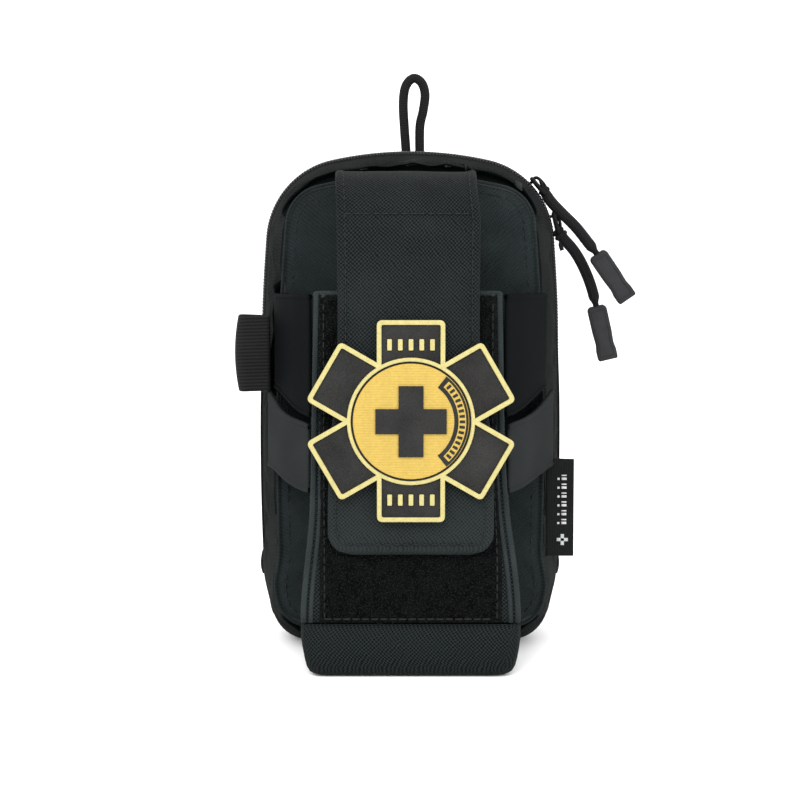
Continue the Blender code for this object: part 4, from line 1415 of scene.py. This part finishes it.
# ---------------------------------------------------------------- patch
ARM_REACH = 0.0342
ARM_HALF = 0.0115
BORDER = 0.0016
RING_OUTER = 0.0216
RING_INNER = 0.0203
DISC_RADIUS = 0.0196


def arm_points(reach, half, corner):
    """One arm's outer end as (along, across) points, with round corners."""
    turns = [math.radians(90 * k / 4) for k in range(5)]
    return [
        (reach - corner + corner * math.sin(turn), sign * (half - corner + corner * math.cos(turn)))
        for sign, corner_turns in ((-1, turns), (1, turns[::-1]))
        for turn in corner_turns
    ]


def turned(along, across, arm):
    turn = math.radians(60 * arm + 90)
    cosine, sine = math.cos(turn), math.sin(turn)
    return (along * cosine - across * sine, along * sine + across * cosine)


def star_outline(reach, half, corner):
    outline = []
    for arm in range(6):
        outline += on_circle(2 * half, [math.radians(60 * arm + 60)])
        outline += [turned(along, across, arm) for along, across in arm_points(reach, half, corner)]
    return outline


def arm_window(arm):
    """The field seen inside one arm: its outer end, and the ring's arc as its inner end."""
    half = ARM_HALF - BORDER
    spread = math.asin(half / RING_OUTER)
    inner = on_circle(RING_OUTER, [spread - 2 * spread * k / 10 for k in range(11)])
    points = arm_points(ARM_REACH - BORDER, half, 0.0006) + inner
    return [turned(along, across, arm) for along, across in points]


def on_circle(radius, angles):
    """Points of the circle round the patch's centre, at bearings in radians."""
    return [(radius * math.cos(angle), radius * math.sin(angle)) for angle in angles]


def add_cutout(name, outlines, y_front, y_back, bevel, material, slot, replaces=()):
    """A plate cut to (x, z) outlines round the patch's centre, with rounded edges."""
    curve = bpy.data.curves.new(name, "CURVE")
    curve.dimensions = "2D"
    curve.fill_mode = "BOTH"
    curve.bevel_depth = bevel
    curve.bevel_resolution = 2
    curve.offset = -bevel
    curve.extrude = max(0.0, abs(y_back - y_front) / 2 - bevel)
    for outline in outlines:
        spline = curve.splines.new("POLY")
        spline.points.add(len(outline) - 1)
        for slot_point, (x, z) in zip(spline.points, outline):
            slot_point.co = (x, z, 0.0, 1.0)
        spline.use_cyclic_u = True
    flat = new_object(name, curve)
    flat.rotation_euler = (math.radians(90), 0.0, 0.0)
    flat.location = (0.0, (y_front + y_back) / 2, PATCH_LEVEL)
    bpy.context.view_layer.update()
    mesh = bpy.data.meshes.new_from_object(flat.evaluated_get(bpy.context.evaluated_depsgraph_get()))
    mesh.transform(flat.matrix_world)
    bpy.data.objects.remove(flat)
    layer = mesh.uv_layers.active or mesh.uv_layers.new(name="UVMap")
    places = [mesh.vertices[loop.vertex_index].co for loop in mesh.loops]
    layer.data.foreach_set("uv", [value for place in places for value in (place.x, place.z)])
    mesh.name = name
    mesh.materials.clear()
    settle(name, mesh, material, "patch", slot, replaces)


def add_patch():
    base_low, base_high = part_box("patch_base")
    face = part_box("patch_border")[0].y
    back = base_low.y
    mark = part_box("patch_emblem")[0].y
    star = star_outline(ARM_REACH, ARM_HALF, 0.0017)
    windows = [arm_window(arm) for arm in range(6)]
    half, reach = 0.0042, 0.0120
    cross = [(half, reach), (half, half), (reach, half), (reach, -half), (half, -half), (half, -reach),
             (-half, -reach), (-half, -half), (-reach, -half), (-reach, half), (-half, half), (-half, reach)]
    ticks = [ring_sector(0.0164, 0.0182, 1.5, 6.1 * k) for k in range(-7, 8)]
    bars = []
    for level in (-0.0267, 0.0259):
        for k in range(5):
            x = 0.0036 * (k - 2)
            bars.append(rounded_box(x - 0.0008, x + 0.0008, level - 0.0019, level + 0.0019, 0.0003))
    for name, outlines, y_front, y_back, bevel, material, slot, node in (
        ("field", [star], base_low.y, base_high.y, 0.0003, "patch_field", "patch_field", "patch_base"),
        ("edge", [star, on_circle(RING_INNER, round_angles(96))] + windows, face - 0.0001, back, 0.00035,
         "patch_border", "patch_gold", "patch_border"),
        ("round", [on_circle(DISC_RADIUS, round_angles(96))], face + 0.0002, back, 0.0002, "patch_gold",
         "patch_gold", "patch_disc"),
        ("cross", [cross], mark + 0.0002, face + 0.0002, 0.00015, "patch_field", "patch_field",
         "patch_emblem"),
        ("shade", [ring_sector(0.0146, 0.0194, 52)], face, face + 0.0003, 0.0001, "patch_field",
         "patch_field", ()),
        ("scale", [ring_sector(0.0160, 0.0186, 47)], face - 0.0002, face + 0.0001, 0.0001, "patch_gold",
         "patch_gold", ()),
        ("ticks", ticks, face - 0.0004, face - 0.0001, 0.00005, "patch_field", "patch_field", ()),
        ("bars", bars, face + 0.0001, back, 0.0002, "patch_border", "patch_gold", ()),
    ):
        add_cutout(f"patch_{name}", outlines, y_front, y_back, bevel, material, slot, node)


def ring_sector(inner, outer, half_angle, bearing=0.0):
    """A slice of a ring round the patch's centre, half_angle degrees to each side of its bearing."""
    count = max(2, round(half_angle / 3) * 2)
    angles = [math.radians(bearing - half_angle + 2 * half_angle * k / count) for k in range(count + 1)]
    return on_circle(outer, angles) + on_circle(inner, angles[::-1])


def rounded_box(x_low, x_high, z_low, z_high, corner):
    """A rectangle's outline with round corners."""
    left, right, foot, top = x_low + corner, x_high - corner, z_low + corner, z_high - corner
    points = []
    for start, x, z in ((0, right, top), (90, left, top), (180, left, foot), (270, right, foot)):
        points += quarter_turn(x, z, corner, start)
    return points


# ---------------------------------------------------------------- sliders
# How far round the zip line's corner arc each slider sits.
SLIDER_ANGLES = {"upper": math.radians(39.5), "lower": math.radians(13.0)}
BRIDGE_SCALE = {"upper": 0.95, "lower": 0.68}


def place_on_zip(word):
    """Where a slider sits on the zip line: place, downward tangent and outward normal."""
    angle = SLIDER_ANGLES[word]
    normal = Vector((math.cos(angle), 0.0, math.sin(angle)))
    centre = ZIP_LINE["corner_centre"]
    place = Vector((centre.x, 0.0, centre.y)) + normal * ZIP_CORNER_RADIUS
    place.x *= draw_in(place.z)
    return place, Vector((normal.z, 0.0, -normal.x)), normal


def add_plate(builder, place, down, out, n_low, n_high, half_width):
    """A slider's cover plate: a shield shape with softened edges."""
    outline = []
    for angle in round_angles(28):
        along, across = math.cos(angle), math.sin(angle)
        square = max(abs(along), abs(across)) ** 0.6
        narrow = 1.0 - 0.18 * max(0.0, along)
        outline.append((along / square * 0.0044, across / square * half_width * narrow))
    rows = []
    for n, share in ((n_low, 0.90), (n_low + 0.0002, 1.0), (n_high - 0.0004, 1.0), (n_high - 0.0001, 0.94),
                     (n_high, 0.86)):
        rows.append([place + down * a * share + BACKWARD * c * share + out * n for a, c in outline])
    builder.grid(rows, wrap=True, cap_first=True, cap_last=True)


def add_slider(word):
    body = f"slider_{word}"
    place, down, out = place_on_zip(word)
    plates = Builder()
    add_plate(plates, place, down, out, 0.0007, 0.0021, 0.0040)
    add_plate(plates, place, down, out, -0.0040, -0.0029, 0.0040)
    plates.tube([place + out * n - down * 0.0028 for n in (-0.0036, -0.0015, 0.0012)], 0.0006, sides=10)
    plates.piece(f"plates_{word}", "metal", body, "black_metal", f"slider_{word}_body")
    scale = BRIDGE_SCALE[word]
    foot = 0.0014
    arch = [
        place + down * along * scale + out * (foot + (high - foot) * scale)
        for along, high in ((-0.0034, foot), (-0.0034, 0.0026), (-0.0025, 0.0034), (0.0, 0.0037),
                            (0.0022, 0.0034), (0.0032, 0.0026), (0.0033, foot))
    ]
    bridge = Builder()
    bridge.tube(smooth_line(arch, 5), 0.00060, sides=10, upright=BACKWARD, flatten=1.1)
    bridge.piece(f"bridge_{word}", "metal", body, "black_metal", f"slider_{word}_bridge")
    start = Vector(PULLS[word]["route"][0])
    ring_end = Vector(PULLS[word]["ring_end"])
    along = (start - ring_end).normalized()
    length = (start - ring_end).length + 0.0010
    oval = []
    for angle in round_angles(28):
        blunt = (abs(math.cos(angle)) ** 0.7) * math.copysign(1, math.cos(angle))
        reach = along * (length / 2 + length / 2 * blunt)
        oval.append(ring_end + reach + BACKWARD * 0.0019 * math.sin(angle))
    ring = Builder()
    ring.tube(oval, 0.00050, sides=8, closed=True)
    ring.piece(f"ring_{word}", "metal", f"pull_{word}", "black_metal", f"pull_{word}_ring")
    add_knot(word)


def add_knot(word):
    """The cord's hitch round the ring: snug turns, and on the lower pull a short loose tail."""
    route = [Vector(point) for point in PULLS[word]["route"]]
    along = (route[1] - route[0]).normalized()
    over = BACKWARD
    side = along.cross(over).normalized()
    knot = Builder()
    turns = ((0.0006, 0.0014),) if word == "upper" else ((0.0006, 0.0016), (0.0024, 0.0018))
    for shift, size in turns:
        turn = [
            route[0] + along * (shift + 0.0005 * math.sin(angle))
            + side * (size * math.cos(angle)) + over * (size * math.sin(angle))
            for angle in round_angles(20)
        ]
        knot.tube(turn, 0.00085, sides=8, closed=True)
    if word == "lower":
        root = route[0] + along * 0.0040
        tail = [root, root + Vector((-0.0012, -0.0006, -0.0018)), root + Vector((-0.0006, -0.0008, -0.0042))]
        knot.tube(smooth_line(tail, 5), 0.0008, sides=8)
    knot.piece(f"knot_{word}", "cord", f"pull_{word}", "cord")


# ---------------------------------------------------------------- back: webbing, straps and snaps
def add_webbing_row(name, node, body):
    low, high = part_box(node)
    middle = (low + high) / 2
    count = 30
    centres = straight((low.x, middle.y - 0.0001, middle.z), (high.x, middle.y - 0.0001, middle.z), count)
    if high.z - low.z > 0.02:
        for i, point in enumerate(centres):
            point.y += 0.0005 * abs(math.sin(3 * math.pi * i / count))
    builder = Builder()
    builder.ribbon(centres, UP, BACKWARD, high.z - low.z, high.y - low.y - 0.0003, flats=12)
    builder.piece(name, "webbing", body, "webbing", node)


def add_back():
    for word in ("upper", "middle", "lower"):
        add_webbing_row(f"back_row_{word}", f"webbing_row_{word}", "back_half")
    add_webbing_row("header_strip", "strap_header", "back_half")
    tacks = Builder()
    face = BACK_DEPTH + 0.0020
    for level in (0.126, 0.088, 0.050):
        for x in (-0.0435, -0.0150, 0.0150, 0.0435):
            for shift in (-0.0006, 0.0, 0.0006):
                line = [Vector((x + shift, face, level + z)) for z in (-0.0105, 0.0105)]
                sew(tacks, line, BACKWARD, pitch=0.0020, length=0.0016)
    header = [Vector((x, BACK_DEPTH + 0.0019, 0.1551)) for x in (-0.034, 0.034)]
    sew(tacks, header, BACKWARD)
    tacks.piece("back_stitches", "thread", "back_half", "webbing")
    for word, _ in SIDES:
        add_back_strap(word)


def add_dome(name, node, body):
    """A pressed snap cap: a shallow dome with a rolled rim."""
    low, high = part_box(node)
    centre = (low + high) / 2
    radius = (high.x - low.x) / 2
    height = high.y - low.y
    base = centre - BACKWARD * height / 2
    rows = []
    for share, rise in ((0.80, 0.0), (1.0, 0.05), (1.0, 0.45), (0.95, 0.62), (0.86, 0.60), (0.70, 0.72),
                        (0.45, 0.92), (0.15, 1.0)):
        rows.append([
            base + BACKWARD * height * rise
            + Vector((math.cos(angle), 0.0, math.sin(angle))) * radius * share
            for angle in round_angles(40)
        ])
    builder = Builder()
    builder.grid(rows, wrap=True, cap_first=True, cap_last=True)
    builder.piece(name, "metal", body, "black_metal", node)


def add_back_strap(word):
    node, body = f"strap_{word}", f"back_strap_{word}"
    low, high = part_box(node)
    x, y = (low.x + high.x) / 2, (low.y + high.y) / 2
    count = 50
    ends = [max(0.0, 1 - (1 - i / count) / 0.04) for i in range(count + 1)]
    widths = [(high.x - low.x) * (1 - 0.16 * end**2) for end in ends]
    builder = Builder()
    builder.ribbon(straight((x, y, high.z), (x, y, low.z), count), RIGHTWARD, BACKWARD, widths,
                   high.y - low.y, flats=12)
    builder.piece(f"snap_strap_{word}", "webbing", body, "webbing", node)
    thread = Builder()
    box = [(-0.010, 0.1500), (0.010, 0.1500), (0.010, 0.1400), (-0.010, 0.1400), (-0.010, 0.1500),
           (0.010, 0.1400)]
    edge = [(-0.0108, 0.136), (-0.0108, 0.026), (0.0108, 0.026), (0.0108, 0.136)]
    for route in (box, edge):
        sew(thread, [Vector((x + a, high.y + 0.0001, z)) for a, z in route], BACKWARD)
    thread.piece(f"strap_stitches_{word}", "thread", body, "webbing")
    add_dome(f"snap_cap_{word}", f"strap_snap_{word}", body)
    add_dome(f"stud_{word}", f"snap_stud_{word}", "back_half")


# ---------------------------------------------------------------- inside
def add_lining(word, side, panel, inset):
    """A thin sheet cut to the panel's outline, slightly quilted."""
    node = f"{word}_lining"
    low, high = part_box(node)
    ring = full_ring(panel, inset)
    rows = []
    steps = 16
    for i in range(steps):
        share = 1 - i / steps
        row = []
        for x, z in ring:
            place = Vector((x * share, 0.0, mix(MIDDLE_LEVEL, z, share)))
            ripple = sway(place, 45.0, 0.0003) * ease((1 - share) * 5)
            row.append(Vector((place.x, (low.y + high.y) / 2 + ripple, place.z)))
        rows.append(row)
    if side > 0:
        rows = [row[::-1] for row in rows]
    builder = Builder()
    builder.grid(rows, wrap=True, cap_last=True)
    sheet = builder.piece(f"lining_{word}", "lining", f"{word}_half", "lining", node)
    thicken(sheet, high.y - low.y, offset=0.0)


def add_elastic(word):
    node = f"elastic_band_{word}"
    low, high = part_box(node)
    count = 72
    half_span = (high.x - low.x) / 2
    rise = high.y - low.y - 0.0008
    centres, normals = [], []
    for i in range(count + 1):
        x = -half_span + 2 * half_span * i / count
        centres.append(Vector((x, high.y - 0.0004 - rise * abs(math.sin(3 * math.pi * i / count)),
                               (low.z + high.z) / 2)))
    for i in range(count + 1):
        along = heading(centres, i)
        normals.append(Vector((-along.y, along.x, 0.0)).normalized())
    builder = Builder()
    builder.ribbon(centres, UP, normals, high.z - low.z, 0.0008, flats=12)
    builder.piece(f"elastic_{word}", "elastic", "back_half", "webbing", node)
    tacks = Builder()
    for x in (-half_span + 0.0006, -half_span / 3, half_span / 3, half_span - 0.0006):
        line = [Vector((x, high.y - 0.0010, z)) for z in (low.z + 0.001, high.z - 0.001)]
        sew(tacks, line, -BACKWARD, pitch=0.0020, length=0.0016)
    tacks.piece(f"elastic_tacks_{word}", "thread", "back_half", "webbing")


def add_mesh_pocket():
    """A net pocket: crossing threads, so that the lining shows through it."""
    low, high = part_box("mesh_pocket")
    middle = (low.y + high.y) / 2
    builder = Builder()
    pitch = 0.0016
    columns = round((high.x - low.x) / pitch)
    rows_count = round((high.z - low.z) / pitch)
    radius = 0.00022
    for j in range(columns + 1):
        x = mix(low.x, high.x, j / columns)
        line = [
            Vector((x + 0.0004 * (-1) ** (i + j), middle, mix(low.z, high.z, i / rows_count)))
            for i in range(rows_count + 1)
        ]
        builder.tube(line, radius, sides=4)
    for i in range(rows_count + 1):
        z = mix(low.z, high.z, i / rows_count)
        builder.tube(straight((low.x, middle + 0.0001, z), (high.x, middle + 0.0001, z), 12), radius, sides=4)
    builder.piece("net_pocket", "net", "front_half", "mesh", "mesh_pocket")
    low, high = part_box("mesh_pocket_binding")
    binding = Builder()
    centre = (low + high) / 2
    line = straight((low.x, centre.y, centre.z), (high.x, centre.y, centre.z), 20)
    binding.ribbon(line, UP, BACKWARD, high.z - low.z, high.y - low.y, flats=6)
    binding.piece("net_binding", "hem", "front_half", "webbing", "mesh_pocket_binding")


# ---------------------------------------------------------------- assembly
add_camera()
add_studio()
materials = make_materials()

add_hanging_loop()
for pull_word in PULLS:
    add_pull_cord(pull_word, add_grip(pull_word))

for half in HALVES:
    add_shell(*half)
for half in HALVES:
    add_seam_stitches(*half)
for half_word, half_side, _, _ in HALVES:
    add_zip_tape(half_word, half_side)
    add_zip_coil(half_word, half_side)
add_lower_gusset()
add_zip_end_tabs()
add_holder_sleeve()
add_holder_cup()
add_loop_field()
add_side_straps()
add_webbing_loop()
add_side_label()
add_flap()
add_flap_hooks()
add_patch()
for pull_word in PULLS:
    add_slider(pull_word)
add_back()
add_lining("front", -1, FRONT_PANEL, 0.0055)
add_lining("back", 1, BACK_PANEL, 0.0070)
for band_word in ("upper", "lower"):
    add_elastic(band_word)
add_mesh_pocket()

for node_name, material_name in (("back_board", "board"), ("patch_loop_panel", "loop_ground"),
                                 ("patch_hook_backing", "hook")):
    node_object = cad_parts[node_name]
    node_object.data.materials.clear()
    node_object.data.materials.append(materials[material_name])
